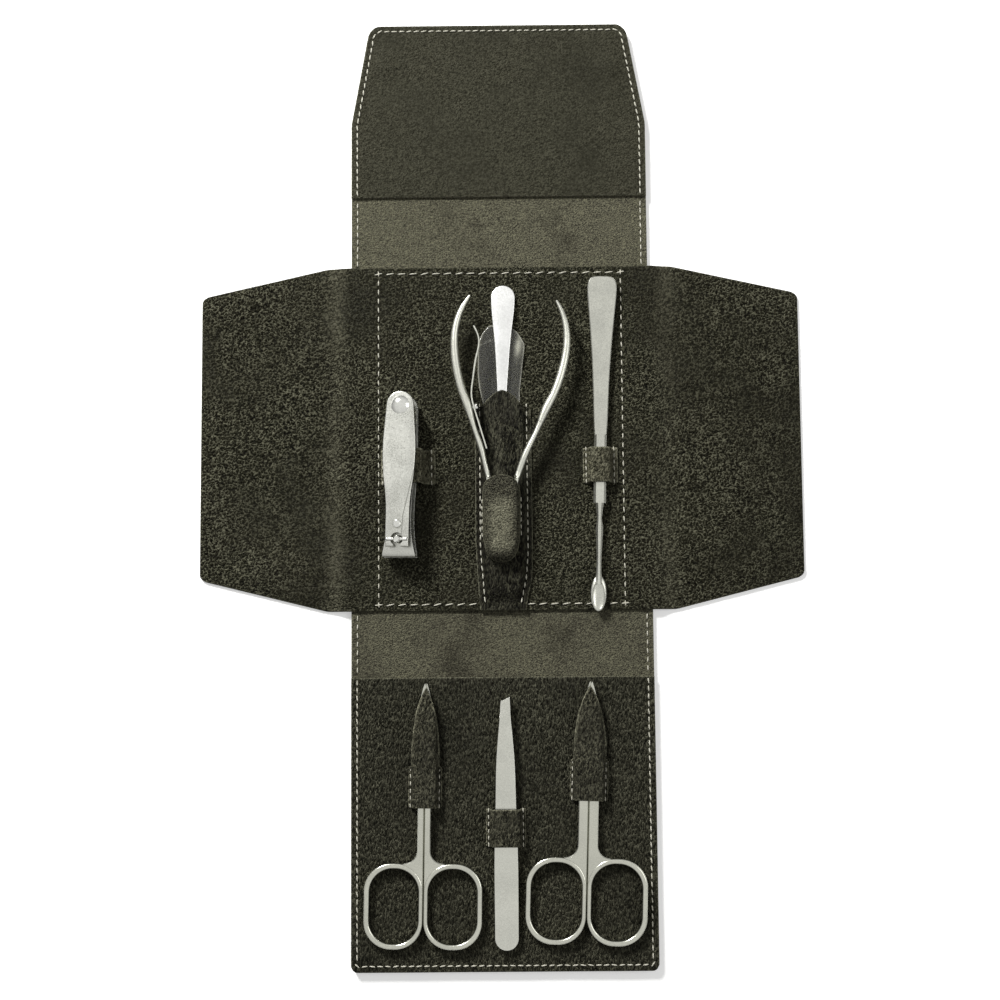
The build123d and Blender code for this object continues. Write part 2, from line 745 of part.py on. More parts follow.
def tongue(inset, mouth):
    """Seen from above: a shallow arc at the mouth and a round end."""
    left = nipper_sheath_left + inset
    right = nipper_sheath_right - inset
    middle = (left + right) / 2
    low = nipper_sheath_low + inset
    y_side = low + (right - left) / 2 + 1.0
    shoulder = nipper_sheath_top - 3.8 + mouth
    return make_face(
        [
            ThreePointArc((right, shoulder), (middle, nipper_sheath_top + mouth), (left, shoulder)),
            Line((left, shoulder), (left, y_side)),
            Spline((left, y_side), (middle, low), (right, y_side), tangents=[(0, -1), (0, 1)]),
            Line((right, y_side), (right, shoulder)),
        ]
    )


def build_nipper_sheath():
    """A leather cap for the jaws, open towards the handles."""
    room_height = nipper_thickness + 2 * snug
    cap = plate(tongue(0, 0), pocket_z_top, room_height + sheath_leather)
    cap = fillet(cap.faces().sort_by(Axis.Z)[-1].edges(), 1.2)
    mouth_run = 6.0
    room = plate(tongue(sheath_leather, mouth_run), pocket_z_top - meet, room_height + meet)
    save(cap - room, "nipper_sheath")


# ---- cuticle pusher, in its own frame along +Y, from the spoon to the round handle end ----
pusher_turn = -1.45
pusher_x = half_width - 19.7
pusher_tip = y_tools_mid - 62.9
pusher_shank = 3.0
pusher_sheet = 1.6             # thickness of the flat handle
pusher_z = panel_top + tool_lift + pusher_sheet
pusher_strap_low = pusher_tip + 46.0
pusher_strap_high = pusher_tip + 58.6


def build_pusher():
    """A flat handle, a faceted shank, a turned neck and a hollow-ground spoon in one piece."""
    handle_half = [(5.25, 116.4), (4.95, 111.0), (3.9, 98.5), (2.75, 77.0), (2.15, 62.0)]
    left = [(-x, y) for x, y in handle_half]
    handle_face = make_face(
        [
            Spline(left[0], (0, 120.9), handle_half[0], tangents=[(0, 1), (0, -1)]),
            Spline(*handle_half, tangents=[(0, -1), (-0.08, -1)]),
            Line(handle_half[-1], left[-1]),
            Spline(*left[::-1], tangents=[(-0.08, 1), (0, 1)]),
        ]
    )
    handle = plate(handle_face, pusher_z - pusher_sheet / 2, pusher_sheet)
    handle = chamfer(handle.faces().sort_by(Axis.Z)[-1].edges(), 0.3)
    shank_half = pusher_shank / 2
    shank = block(-2.2, 2.2, 38.5, 63.0, pusher_z - shank_half, pusher_z + shank_half)
    shank = chamfer(shank.edges().filter_by(Axis.Y), 0.8)
    # Octagonal neck: distance from the tip and half the width across the flats.
    neck_sizes = [
        (38.6, 1.5),
        (36.6, 1.2),
        (33.0, 0.85),
        (29.4, 1.3),
        (18.4, 0.85),
        (13.4, 0.9),
        (9.5, 1.4),
    ]
    neck_rings = []
    for y, half in neck_sizes:
        ring_plane = Plane(origin=(0, y, pusher_z), x_dir=(1, 0, 0), z_dir=(0, -1, 0))
        neck_rings.append(ring_plane * RegularPolygon(half, 8, major_radius=False, rotation=22.5))
    neck = loft(neck_rings, ruled=True)
    bowl = Pos(0, 6.4, pusher_z) * scale(Sphere(1), by=(2.9, 6.4, 1.15))
    scoop = Pos(0, 5.4, pusher_z + 1.15) * scale(Sphere(1), by=(2.4, 5.6, 1.2))
    spoon = bowl - scoop
    body = handle + shank + neck + spoon
    place = Location((pusher_x, pusher_tip, 0), (0, 0, pusher_turn))
    save(place * body, "pusher")


def build_pusher_strap():
    """A strap over the shank, sewn on both sides."""
    x_mid = pusher_x + 1.3
    room_half = 3.2
    height = tool_lift + pusher_sheet + pusher_shank / 2 + 0.55
    strap = bridge(
        x_mid - room_half,
        x_mid + room_half,
        x_mid - room_half - 2.9,
        x_mid + room_half + 3.4,
        pusher_strap_low,
        pusher_strap_high,
        panel_top,
        height,
        height,
        strap_leather,
    )
    save(strap, "pusher_strap")


# ---- scissors, in their own frame: the screw is the origin and the blades point along +Y ----
scissor_leaf = 1.5
scissor_gap = 0.06
ring_wire = 1.9
inner_wire = 1.6                # the ring is thinner beside the other half
ring_height = 2.6
ring_round = 0.75
shank_height = 2.1
shank_bevel = 0.3
halves_gap = 0.08
lap_length = 4.8
scissor_screw = 2.0
scissor_head = 3.5
scissor_head_height = 0.5
sheath_depth = 13.8
sheath_flange = 1.2
left_scissors = {
    "shank": 2.3,
    "ring_top": 26.0,            # from the screw
    "ring_low": 55.5,
    "ring_width": 20.6,
    "blade": 36.4,
    "lap_half": 3.1,
    "sheath_half": 3.9,
}
right_scissors = {
    "shank": 3.5,
    "ring_top": 26.6,
    "ring_low": 56.6,
    "ring_width": 21.2,
    "blade": 34.6,
    "lap_half": 3.7,
    "sheath_half": 4.7,
}
left_scissors_place = Location((-(half_width - 26.1), y_panel_fold - 38.8, 0), (0, 0, -1.0))
right_scissors_place = Location((half_width - 23.8, y_panel_fold - 36.7, 0), (0, 0, -2.0))


def scissor_half(middle, sizes):
    """The half whose ring is on the right. Its blade crosses to the left."""
    shank = sizes["shank"]
    ring_top = sizes["ring_top"]
    ring_low = sizes["ring_low"]
    ring_width = sizes["ring_width"]
    ring_centre_y = -(ring_top + ring_low) / 2
    ring_length = ring_low - ring_top
    ring_place = Pos(halves_gap + ring_width / 2, ring_centre_y)
    ring_outer = ring_place * RectangleRounded(ring_width, ring_length, ring_width / 2 - 0.8)
    hole_width = ring_width - ring_wire - inner_wire
    hole = ring_place * Pos((inner_wire - ring_wire) / 2, 0)
    hole = hole * RectangleRounded(hole_width, ring_length - 2 * ring_wire, hole_width / 2 - 0.5)
    web_round = 4.2
    shank_face = make_face(
        [
            Polyline(
                (halves_gap, -lap_length),
                (halves_gap, ring_centre_y),
                (halves_gap + 3, ring_centre_y),
                (halves_gap + ring_width / 2, -ring_top - 0.6),
                (shank + web_round, -ring_top),
            ),
            RadiusArc((shank + web_round, -ring_top), (shank, -ring_top + web_round), web_round + 0.2),
            Polyline((shank, -ring_top + web_round), (shank, -lap_length), (halves_gap, -lap_length)),
        ]
    )
    ring = plate(ring_outer - hole, middle - ring_height / 2, ring_height)
    ring = fillet(ring.faces().filter_by(Axis.Z).edges(), ring_round)
    shank_solid = plate(shank_face - hole, middle - shank_height / 2, shank_height)
    shank_solid = chamfer(shank_solid.faces().filter_by(Axis.Z).edges(), shank_bevel)
    return ring + shank_solid


def scissor_blade(low, sizes):
    """Lap, and a blade on the left that narrows to a point."""
    lap_half = sizes["lap_half"]
    blade_length = sizes["blade"]
    lap_disc = plate(Circle(lap_half), low, scissor_leaf)
    link_x = sizes["shank"] - shank_bevel
    link = outline([(halves_gap, -6.4), (link_x, -6.4), (link_x, -1.0), (halves_gap, -1.0)])
    blade_face = make_face(
        [
            Spline((0.7, 0), (0.75, blade_length * 0.5), (-0.2, blade_length), tangents=[(0, 1), (-0.25, 1)]),
            Line((-0.2, blade_length), (-0.5, blade_length - 0.4)),
            Spline((-0.5, blade_length - 0.4), (-lap_half * 0.92, blade_length * 0.5),
                   (-lap_half, 2.0), tangents=[(-0.35, -1), (0, -1)]),
            Line((-lap_half, 2.0), (-lap_half, 0)),
            Line((-lap_half, 0), (0.7, 0)),
        ]
    )
    blade = plate(blade_face, low, scissor_leaf)
    return lap_disc + blade + plate(link, low, scissor_leaf)


def build_scissors(side, sizes, place, mirrored):
    """Both halves and their screw. The outer half is the one nearer to the case's edge."""
    low = facing_top + tool_lift
    high = low + scissor_leaf + scissor_gap
    middle = low + scissor_leaf + scissor_gap / 2
    handle = scissor_half(middle, sizes)
    screw_radius = scissor_screw / 2
    bore = Cylinder(screw_radius, cut)
    wide_bore = Cylinder(screw_radius + 0.05, cut)
    head_radius = scissor_head / 2
    head_low = high + scissor_leaf - scissor_head_height
    head_seat = Pos(0, 0, head_low + 1) * Cylinder(head_radius + 0.05, 2)
    one = handle + scissor_blade(low, sizes)
    other = mirror_x(handle) + mirror_x(scissor_blade(high, sizes))
    one = one - wide_bore
    other = other - bore - head_seat
    screw = Pos(0, 0, (low + head_low) / 2) * Cylinder(screw_radius, head_low - low)
    head = Pos(0, 0, head_low + scissor_head_height / 2) * Cylinder(head_radius, scissor_head_height)
    slot = Pos(0, 0, head_low + scissor_head_height) * Rot(0, 0, 25) * Box(2 * scissor_head, 0.45, 0.5)
    screw = screw + head - slot
    halves = (one, other, screw)
    if mirrored:
        halves = tuple(mirror_x(piece) for piece in halves)
    save(place * halves[0], f"{side}_scissors_outer_half")
    save(place * halves[1], f"{side}_scissors_inner_half")
    save(place * halves[2], f"{side}_scissors_screw")


def build_scissor_sheath(side, sizes, place):
    """A sewn loop round the screw, with a free tongue over the blades."""
    blade_length = sizes["blade"]
    room_half = sizes["sheath_half"]
    room_height = tool_lift + 2 * scissor_leaf + scissor_gap + 0.35
    y_low = -sheath_depth / 2
    y_high = sheath_depth / 2
    foot = room_half + sheath_leather + sheath_flange
    loop = bridge(
        -room_half, room_half, -foot, foot, y_low, y_high,
        facing_top, room_height, room_height, sheath_leather,
    )
    wide = room_half + sheath_leather - 0.5
    tip = blade_length - 1.6
    tongue_face = make_face(
        [
            Line((-wide + 0.4, y_high - 1.5), (wide - 0.4, y_high - 1.5)),
            Spline((wide - 0.4, y_high - 1.5), (wide, y_high + 7), (wide * 0.62, tip - 9), (0.4, tip),
                   tangents=[(0.05, 1), (-0.5, 1)]),
            Line((0.4, tip), (-0.4, tip)),
            Spline((-0.4, tip), (-wide * 0.62, tip - 9), (-wide, y_high + 7), (-wide + 0.4, y_high - 1.5),
                   tangents=[(-0.5, -1), (0.05, -1)]),
        ]
    )
    cover = plate(tongue_face, facing_top + room_height, sheath_leather)
    save(place * (loop + cover), f"{side}_scissors_sheath")


# ---- tweezers, along +Y from the tail ----
tweezer_x = 0.7
tweezer_tail = y_bottom + 7.8
tweezer_length = 87.4
tweezer_leaf = 1.1
tweezer_width = 8.3
tweezer_edge = 0.25
tip_ground = 81.5                # where the ground tip starts
tip_drop = 0.5
tweezer_spread = 1.0           # degrees between the arms
tweezer_weld = 12.7            # from the tail
tweezer_bottom = facing_top + tool_lift


def tweezer_plan():
    """Round tail, long taper and a slanted tip."""
    half = [(4.15, 4.15), (4.1, 35.0), (3.65, 50.0), (3.25, 65.0), (2.1, 79.0)]
    tip_left = (-1.5, tweezer_length - 1.5)
    tip_right = (1.65, tweezer_length)
    left = [(-x, y) for x, y in half]
    return make_face(
        [
            ThreePointArc(left[0], (0, 0), half[0]),
            Spline(*half, tangents=[(0, 1), (-0.09, 1)]),
            Line(half[-1], tip_right),
            Line(tip_right, tip_left),
            Line(tip_left, left[-1]),
            Spline(*left[::-1], tangents=[(-0.09, -1), (0, -1)]),
        ]
    )


def build_tweezers():
    """Two flat arms, welded at the tail, the upper one sprung away from the lower one."""
    arm = plate(tweezer_plan(), 0, tweezer_leaf)
    rims = arm.faces().sort_by(Axis.Z)[-1].edges()
    arm = fillet(rims, tweezer_edge)
    lower = Pos(0, 0, tweezer_leaf) * mirror(arm, about=Plane.XY)

    slope = tan(radians(tweezer_spread))
    beyond = tweezer_length + 1
    rise = (beyond - tweezer_weld) * slope
    profile = make_face(
        Polyline(
            (-1, 0),
            (tweezer_weld, 0),
            (beyond, rise),
            (beyond, rise + tweezer_leaf),
            (tweezer_weld, tweezer_leaf),
            (-1, tweezer_leaf),
            close=True,
        )
    )
    upper = along_case(profile, tweezer_width) & plate(tweezer_plan(), -1, rise + 3)
    rims = upper.faces().filter_by(lambda face: face.normal_at().Z > 0.9).edges()
    upper = fillet(rims.filter_by(Axis.X, reverse=True), tweezer_edge)
    at_tip = rise + tweezer_leaf
    ground_start = (tip_ground - tweezer_weld) * slope + tweezer_leaf
    ground = make_face(
        Polyline(
            (tip_ground, ground_start),
            (beyond, at_tip - tip_drop),
            (beyond, at_tip + 1),
            (tip_ground, at_tip + 1),
            close=True,
        )
    )
    upper = upper - along_case(ground, tweezer_width)
    place = Pos(tweezer_x, tweezer_tail, tweezer_bottom)
    save(place * lower, "tweezers_lower_arm")
    save(place * Pos(0, 0, tweezer_leaf) * upper, "tweezers_upper_arm")


def build_tweezers_strap():
    """A strap over both arms, sewn on both sides."""
    y_low = tweezer_tail + 35.4
    y_high = y_low + 13.1
    gape = (y_high - tweezer_tail - tweezer_weld) * tan(radians(tweezer_spread))
    height = tool_lift + 2 * tweezer_leaf + gape + 0.925
    room_half = tweezer_width / 2 + 0.55
    foot_half = room_half + 2.6
    strap = bridge(
        tweezer_x - room_half,
        tweezer_x + room_half,
        tweezer_x - foot_half,
        tweezer_x + foot_half,
        y_low,
        y_high,
        facing_top,
        height,
        height,
        strap_leather,
    )
    save(strap, "tweezers_strap")


build_strip()
build_wings()
build_clipper()
build_clipper_strap()
build_file()
build_pocket()
build_nipper()
build_nipper_sheath()
build_pusher()
build_pusher_strap()
build_scissors("left", left_scissors, left_scissors_place, True)
build_scissors("right", right_scissors, right_scissors_place, False)
build_scissor_sheath("left", left_scissors, left_scissors_place)
build_scissor_sheath("right", right_scissors, right_scissors_place)
build_tweezers()
build_tweezers_strap()
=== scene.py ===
import json
import math
from contextlib import contextmanager

import bmesh
import bpy
import numpy as np
from mathutils import Matrix, Vector, noise


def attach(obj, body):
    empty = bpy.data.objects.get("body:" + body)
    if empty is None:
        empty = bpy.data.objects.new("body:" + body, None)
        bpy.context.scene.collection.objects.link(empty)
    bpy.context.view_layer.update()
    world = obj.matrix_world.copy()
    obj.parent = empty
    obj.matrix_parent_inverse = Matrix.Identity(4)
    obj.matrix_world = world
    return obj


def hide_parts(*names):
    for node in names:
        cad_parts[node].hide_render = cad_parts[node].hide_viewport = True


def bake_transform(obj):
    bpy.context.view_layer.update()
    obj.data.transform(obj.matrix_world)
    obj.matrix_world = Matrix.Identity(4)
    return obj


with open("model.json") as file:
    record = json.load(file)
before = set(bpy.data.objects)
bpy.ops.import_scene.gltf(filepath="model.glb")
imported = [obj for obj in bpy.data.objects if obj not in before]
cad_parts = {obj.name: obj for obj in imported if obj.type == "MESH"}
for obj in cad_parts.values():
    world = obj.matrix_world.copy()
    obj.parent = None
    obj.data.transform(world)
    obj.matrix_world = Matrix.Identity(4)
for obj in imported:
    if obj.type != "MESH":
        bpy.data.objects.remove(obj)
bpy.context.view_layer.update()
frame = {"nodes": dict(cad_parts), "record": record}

MM = 0.001


# ---- case sizes, in millimetres, as in the CAD ----
HALF_WIDTH = 53.8
Y_TOP, Y_LID_FOLD, Y_TOP_FOLD = 170.5, 105.2, 80.1
Y_BOTTOM_FOLD, Y_PANEL_FOLD, Y_BOTTOM = -46.1, -67.9, -170.5
LID_END_HALF, LID_SHOULDER = 47.0, 28.0
LEATHER, STRIP_TOP, FACING_TOP, PANEL_TOP = 1.1, 1.6, 2.6, 2.6
Y_TOOLS_LOW, Y_TOOLS_TOP = -44.9, 79.7
X_GUSSET, X_END = 54.0, 108.25
X_CORNER, WING_END_HALF, WING_MID = 62.3, 51.4, 18.0
MAGNET_X, MAGNET_Y = 41.4, 155.7
# Soft shapes: the lid's swell over a magnet, the sewn rectangle, where the panel's sheet is divided, and how
# wide and how strongly a cut edge is rubbed.
MAGNET_SWELL_REACH, MAGNET_SWELL = 7.0, 0.7
BOX_SEAM_X, BOX_SEAM_LOW, BOX_SEAM_TOP = 43.9, -42.6, 77.3
PANEL_PIECE_END, GUSSET_MIDDLE = 50.0, 60.8
EDGE_WEAR_WIDTH, EDGE_WEAR = 0.4, 0.9


# ---- colours and material nodes ----
def colour(hex_code):
    """An sRGB hex value as a linear RGBA colour."""
    channels = [int(hex_code[i:i + 2], 16) / 255 for i in (1, 3, 5)]
    return [c / 12.92 if c <= 0.04045 else ((c + 0.055) / 1.055) ** 2.4 for c in channels] + [1.0]


def add(tree, kind, settings=None, inputs=None, links=None):
    """One node with its settings, its input values and what feeds it: sockets, or nodes by their first output."""
    node = tree.nodes.new(kind)
    for name, value in (settings or {}).items():
        setattr(node, name, value)
    for key, value in (inputs or {}).items():
        node.inputs[key].default_value = value
    for key, source in (links or {}).items():
        tree.links.new(getattr(source, "outputs", [source])[0], node.inputs[key])
    return node


def new_material(name):
    """An empty node material."""
    material = bpy.data.materials.new(name)
    material.use_nodes = True
    material.node_tree.nodes.clear()
    return material, material.node_tree


def shown(material, shader):
    """The material, with a shader on its output."""
    add(material.node_tree, "ShaderNodeOutputMaterial", links={0: shader})
    return material


def ramp(tree, factor, stops):
    """A colour ramp over a factor, from (place, hex) stops."""
    node = add(tree, "ShaderNodeValToRGB", links={0: factor})
    elements = node.color_ramp.elements
    while len(elements) < len(stops):
        elements.new(0.5)
    for element, (place, hex_code) in zip(elements, stops):
        element.position = place
        element.color = colour(hex_code)
    return node.outputs[0]


def math_node(tree, operation, first, second):
    """One arithmetic node. Each side is a socket or a number."""
    links = {i: v for i, v in ((0, first), (1, second)) if not isinstance(v, (int, float))}
    inputs = {i: v for i, v in ((0, first), (1, second)) if isinstance(v, (int, float))}
    return add(tree, "ShaderNodeMath", {"operation": operation}, inputs, links).outputs[0]


def spread(tree, factor, low, high, to_low=0.0, to_high=1.0):
    """A soft step of a factor from low to high."""
    limits = {"From Min": low, "From Max": high, "To Min": to_low, "To Max": to_high}
    return add(tree, "ShaderNodeMapRange", {"interpolation_type": "SMOOTHSTEP"}, limits, {0: factor}).outputs[0]


def speckle(tree, place, scale, detail, output="Fac", **more):
    """Noise with `scale` lumps to the metre."""
    inputs = {"Scale": scale, "Detail": detail, **more}
    return add(tree, "ShaderNodeTexNoise", inputs=inputs, links={0: place}).outputs[output]


def bumps(tree, height, depth):
    """The normal of a relief that is `depth` mm high."""
    return add(tree, "ShaderNodeBump", inputs={"Strength": 1.0, "Distance": depth * MM},
            links={"Height": height}).outputs[0]


def laid_over(tree, below, hex_code, share):
    """A flat colour over another colour, by a share."""
    mix = add(tree, "ShaderNodeMix", {"data_type": "RGBA"}, {7: colour(hex_code)}, {0: share, 6: below})
    return mix.outputs[2]


def new_object(name, data):
    """An object in the scene, at the origin."""
    piece = bpy.data.objects.new(name, data)
    bpy.context.scene.collection.objects.link(piece)
    return piece


def leather(name, dark, base, light, worn, grain=1.7, depth=0.35, wrinkle=0.10, stretch=(1, 1, 1), turn=0.0,
        cloud=40.0, even=0.4, rough=0.5, gleam=0.12, sheen=0.0, cloudy=0.2, net=1.0, speck=1.0):
    """Dyed leather in millimetres: pebbles `grain` wide and `depth` high, wrinkles `wrinkle` high.

    dark and base are the dye's tones, darkest in the pores, which are partly painted shade, and light is a
    painted highlight on the pebbles' rims. worn shows where the attribute "wear" says that use has rubbed the
    dye away, and where a piece paints a highlight with it. even is how much grain the calm patches keep, cloudy
    how far the tone drifts, net how plainly the painted highlight on the rims shows and speck how uneven the dye
    is from pore to pore.
    """
    material, tree = new_material(name)
    place = add(tree, "ShaderNodeTexCoord").outputs["Object"]
    turned = add(tree, "ShaderNodeMapping", inputs={"Rotation": (0, 0, turn), "Scale": stretch},
            links={0: place}).outputs[0]
    tone = speckle(tree, place, 1000.0 / cloud, 3.0, Roughness=0.6)
    patch = spread(tree, tone, 0.36, 0.62, even, 1.0)
    warp = speckle(tree, turned, 1000.0 / (grain * 1.3), 2.0, "Color")
    bent = add(tree, "ShaderNodeVectorMath", {"operation": "MULTIPLY_ADD"}, {1: (grain * MM * 1.2,) * 3},
            {0: warp, 2: turned}).outputs[0]
    edge = add(tree, "ShaderNodeTexVoronoi", {"feature": "DISTANCE_TO_EDGE"}, {"Scale": 1000.0 / grain,
            "Randomness": 1.0}, {"Vector": bent}).outputs["Distance"]
    fine = speckle(tree, turned, 1000.0 / (grain * 0.75), 2.0, Roughness=0.6)
    folds = speckle(tree, turned, 1000.0 / (grain * 2.4), 3.0, Roughness=0.6, Distortion=1.2)
    pillow = spread(tree, edge, 0.0, 0.32)
    # Painted highlight: the light colour laid on the pebbles' raised rims.
    rim = math_node(tree, "MULTIPLY", spread(tree, edge, 0.0, 0.20, 1.0, 0.0), spread(tree, fine, 0.38, 0.60))
    rim = math_node(tree, "MULTIPLY", rim, patch)
    skin = math_node(tree, "MULTIPLY_ADD", math_node(tree, "SUBTRACT", fine, 0.5), 2.0)
    tree.links.new(pillow, skin.node.inputs[2])
    height = math_node(tree, "MULTIPLY_ADD", folds, wrinkle / depth * 4.0)
    tree.links.new(math_node(tree, "MULTIPLY", skin, patch), height.node.inputs[2])
    drift = math_node(tree, "MULTIPLY", math_node(tree, "SUBTRACT", tone, 0.5), cloudy * 2.0)
    # Uneven dye from pore to pore. The same noise lowers the relief, so the dark pores are partly painted shade.
    pore_dye_and_shade = math_node(tree, "MULTIPLY", math_node(tree, "SUBTRACT", fine, 0.5), speck * 2.2)
    shade = math_node(tree, "ADD", math_node(tree, "ADD", math_node(tree, "MULTIPLY", pore_dye_and_shade, patch), drift), 0.5)
    tint = ramp(tree, shade, [(0.15, dark), (0.55, base)])
    rim_highlighted = laid_over(tree, tint, light, math_node(tree, "MULTIPLY", rim, net))
    wear = add(tree, "ShaderNodeAttribute", {"attribute_name": "wear"}).outputs["Fac"]
    rubbed = math_node(tree, "MULTIPLY", wear, spread(tree, fine, 0.35, 0.6, 0.3, 1.0))
    mixed = laid_over(tree, rim_highlighted, worn, rubbed)
    normal = bumps(tree, height, depth)
    gloss = spread(tree, fine, 0.35, 0.65, rough + 0.10, rough - 0.06)
    shader = add(tree, "ShaderNodeBsdfPrincipled", inputs={"IOR": 1.45, "Specular IOR Level": gleam,
            "Sheen Weight": sheen, "Sheen Roughness": 0.5},
            links={"Base Color": mixed, "Roughness": gloss, "Normal": normal})
    return shown(material, shader)


def tinted(hex_code, share):
    """The same hex colour, a share lighter or darker."""
    return "#" + "".join(f"{min(int(int(hex_code[i:i + 2], 16) * share), 255):02x}" for i in (1, 3, 5))


def steel(name, base, roughness, blast=0.45, blast_depth=0.006, vary=0.07, corner=0.45):
    """Stainless steel. Blasting leaves a soft grey mirror with pits of `blast` mm, drawn coarser than they are.

    vary is how far the tone goes up and down. corner is how dark the painted shade in gaps and inner corners
    gets.
    """
    material, tree = new_material(name)
    place = add(tree, "ShaderNodeTexCoord").outputs["Object"]
    grit = speckle(tree, place, 1000.0 / blast, 2.0)
    hand = speckle(tree, place, 90.0, 3.0)
    mixed = math_node(tree, "ADD", math_node(tree, "MULTIPLY", grit, 0.6), math_node(tree, "MULTIPLY", hand, 0.4))
    tint = ramp(tree, mixed, [(0.35, tinted(base, 1 - vary)), (0.5, base), (0.65, tinted(base, 1 + vary))])
    # Painted shade: an ambient occlusion node darkens the colour in gaps and inner corners.
    inner = add(tree, "ShaderNodeAmbientOcclusion", {"samples": 8}, {"Distance": 1.8 * MM}).outputs["AO"]
    painted_shade_share = spread(tree, inner, 0.15, 0.75, corner, 1.0)
    shaded = add(tree, "ShaderNodeMix", {"data_type": "RGBA", "blend_type": "MULTIPLY"}, {0: 1.0},
            {6: tint, 7: painted_shade_share}).outputs[2]
    gloss = spread(tree, mixed, 0.35, 0.65, roughness - 0.04, roughness + 0.06)
    normal = bumps(tree, grit, blast_depth)
    shader = add(tree, "ShaderNodeBsdfPrincipled", inputs={"Metallic": 1.0},
            links={"Base Color": shaded, "Roughness": gloss, "Normal": normal})
    return shown(material, shader)


def thread(name, base, light):
    """Waxed polyester thread: its twisted strands are drawn as flecks of about 0.3 mm, coarser than real."""
    material, tree = new_material(name)
    place = add(tree, "ShaderNodeTexCoord").outputs["Object"]
    strands = speckle(tree, place, 3500.0, 1.0)
    tint = ramp(tree, strands, [(0.3, base), (0.7, light)])
    shader = add(tree, "ShaderNodeBsdfPrincipled", inputs={"Roughness": 0.6, "IOR": 1.5},
            links={"Base Color": tint})
    return shown(material, shader)


def film(name):
    """Soft clear vinyl: a faint milky haze that grows at the edges, a wet gloss, waves about 6 mm long and
    scuffs of about 0.4 mm."""
    material, tree = new_material(name)
    place = add(tree, "ShaderNodeTexCoord").outputs["Object"]
    waves = speckle(tree, place, 160.0, 2.0, Distortion=0.6)
    scuffs = speckle(tree, place, 2400.0, 2.0)
    normal = bumps(tree, waves, 0.5)
    # The attribute also carries the sleeve's painted highlight, drawn as haze.
    rim = add(tree, "ShaderNodeAttribute", {"attribute_name": "wear"}).outputs["Fac"]
    haze = math_node(tree, "MULTIPLY_ADD", rim, 0.5)
    tree.links.new(spread(tree, scuffs, 0.3, 0.8, 0.02, 0.08), haze.node.inputs[2])
    clear = add(tree, "ShaderNodeBsdfTransparent", inputs={"Color": colour("#f6f6f0")}).outputs[0]
    milk = add(tree, "ShaderNodeBsdfDiffuse", inputs={"Color": colour("#c9c8ba")}).outputs[0]
    gloss = add(tree, "ShaderNodeBsdfGlossy", inputs={"Color": colour("#ffffff"), "Roughness": 0.16},
            links={"Normal": normal}).outputs[0]
    body = add(tree, "ShaderNodeMixShader", links={0: haze, 1: clear, 2: milk}).outputs[0]
    sheen = add(tree, "ShaderNodeFresnel", inputs={"IOR": 1.35}, links={"Normal": normal}).outputs[0]
    wet = add(tree, "ShaderNodeMixShader", links={0: sheen, 1: body, 2: gloss}).outputs[0]
    return shown(material, wet)


# Pebbled cowhide, dyed dark olive: soft pebbles about 1.2 mm wide, with a painted highlight on their rims.
PEBBLED = leather("pebbled_dyed_cowhide", "#030302", "#252419", "#6b6a58", "#6e6c5a", 1.2, 0.6, gleam=0.06,
        cloud=46.0, even=0.25, cloudy=0.45)
# The same hide, drier: its grain is drawn about 1 mm wide and 2 mm long, and runs askew across the panel.
FACING = leather("wrinkled_dyed_cowhide", "#080805", "#35342a", "#6a6958", "#8a8873", 0.9, 0.8, 0.3,
        (1, 0.42, 1), 0.6, even=0.4, gleam=0.06, net=0.75, speck=0.9, cloudy=0.5)
# Smooth cowhide: a tight, nearly flat grain, drawn about 1 mm wide, coarser than real.
LID_FACE = leather("smooth_dyed_cowhide", "#1f1e15", "#36352a", "#4c4b3d", "#8a8873", 1.0, 0.22, 0.12,
        rough=0.6, even=0.35, gleam=0.08, net=0.8, speck=0.9, cloudy=0.6)
# Waxed cowhide for the outside: the same grain, flatter still.
OUTER = leather("waxed_outer_cowhide", "#25241a", "#333226", "#424133", "#77755f", 1.0, 0.10, 0.10, even=0.3,
        gleam=0.1, net=0.6, speck=0.6, cloudy=0.45)
# Split suede: a short matt nap, drawn as clumps of about 0.8 mm, coarser than real.
LINING = leather("suede_lining", "#35332a", "#5b594a", "#77755f", "#8a8873", 0.8, 0.30, 0.12, rough=0.85,
        sheen=0.05, gleam=0.05, speck=1.1, cloudy=0.9, cloud=30.0)
# Soft strap leather: a grain about 1 mm wide and 2 mm long. The clipper's and the pusher's straps are paler,
# and the pocket is darker.
STRAP = leather("soft_strap_leather", "#080805", "#34332a", "#706e5b", "#95937d", 0.95, 0.5, 0.35,
        (1, 0.45, 1), -0.5, cloud=12.0, even=0.5, gleam=0.06, net=0.8)
POCKET = leather("dark_pocket_leather", "#040403", "#21201a", "#525142", "#95937d", 0.9, 0.5, 0.35,
        (1, 0.35, 1), -0.5, cloud=12.0, even=0.5, gleam=0.06, net=0.7)
PALE_STRAP = leather("pale_strap_leather", "#26251b", "#4f4d3f", "#75735f", "#a5a38d", 1.0, 0.4, 0.3,
        (1, 0.6, 1), -0.4, cloud=9.0, even=0.7, gleam=0.06)
# Nubuck, with a nap drawn about 0.8 mm wide: the cap is rubbed pale where the tool presses from inside.
WORN = leather("rubbed_nubuck", "#0d0c08", "#3b3a31", "#6d6b59", "#98967f", 0.8, 0.35, 0.15, rough=0.62,
        cloud=7.0, even=0.8, gleam=0.06)
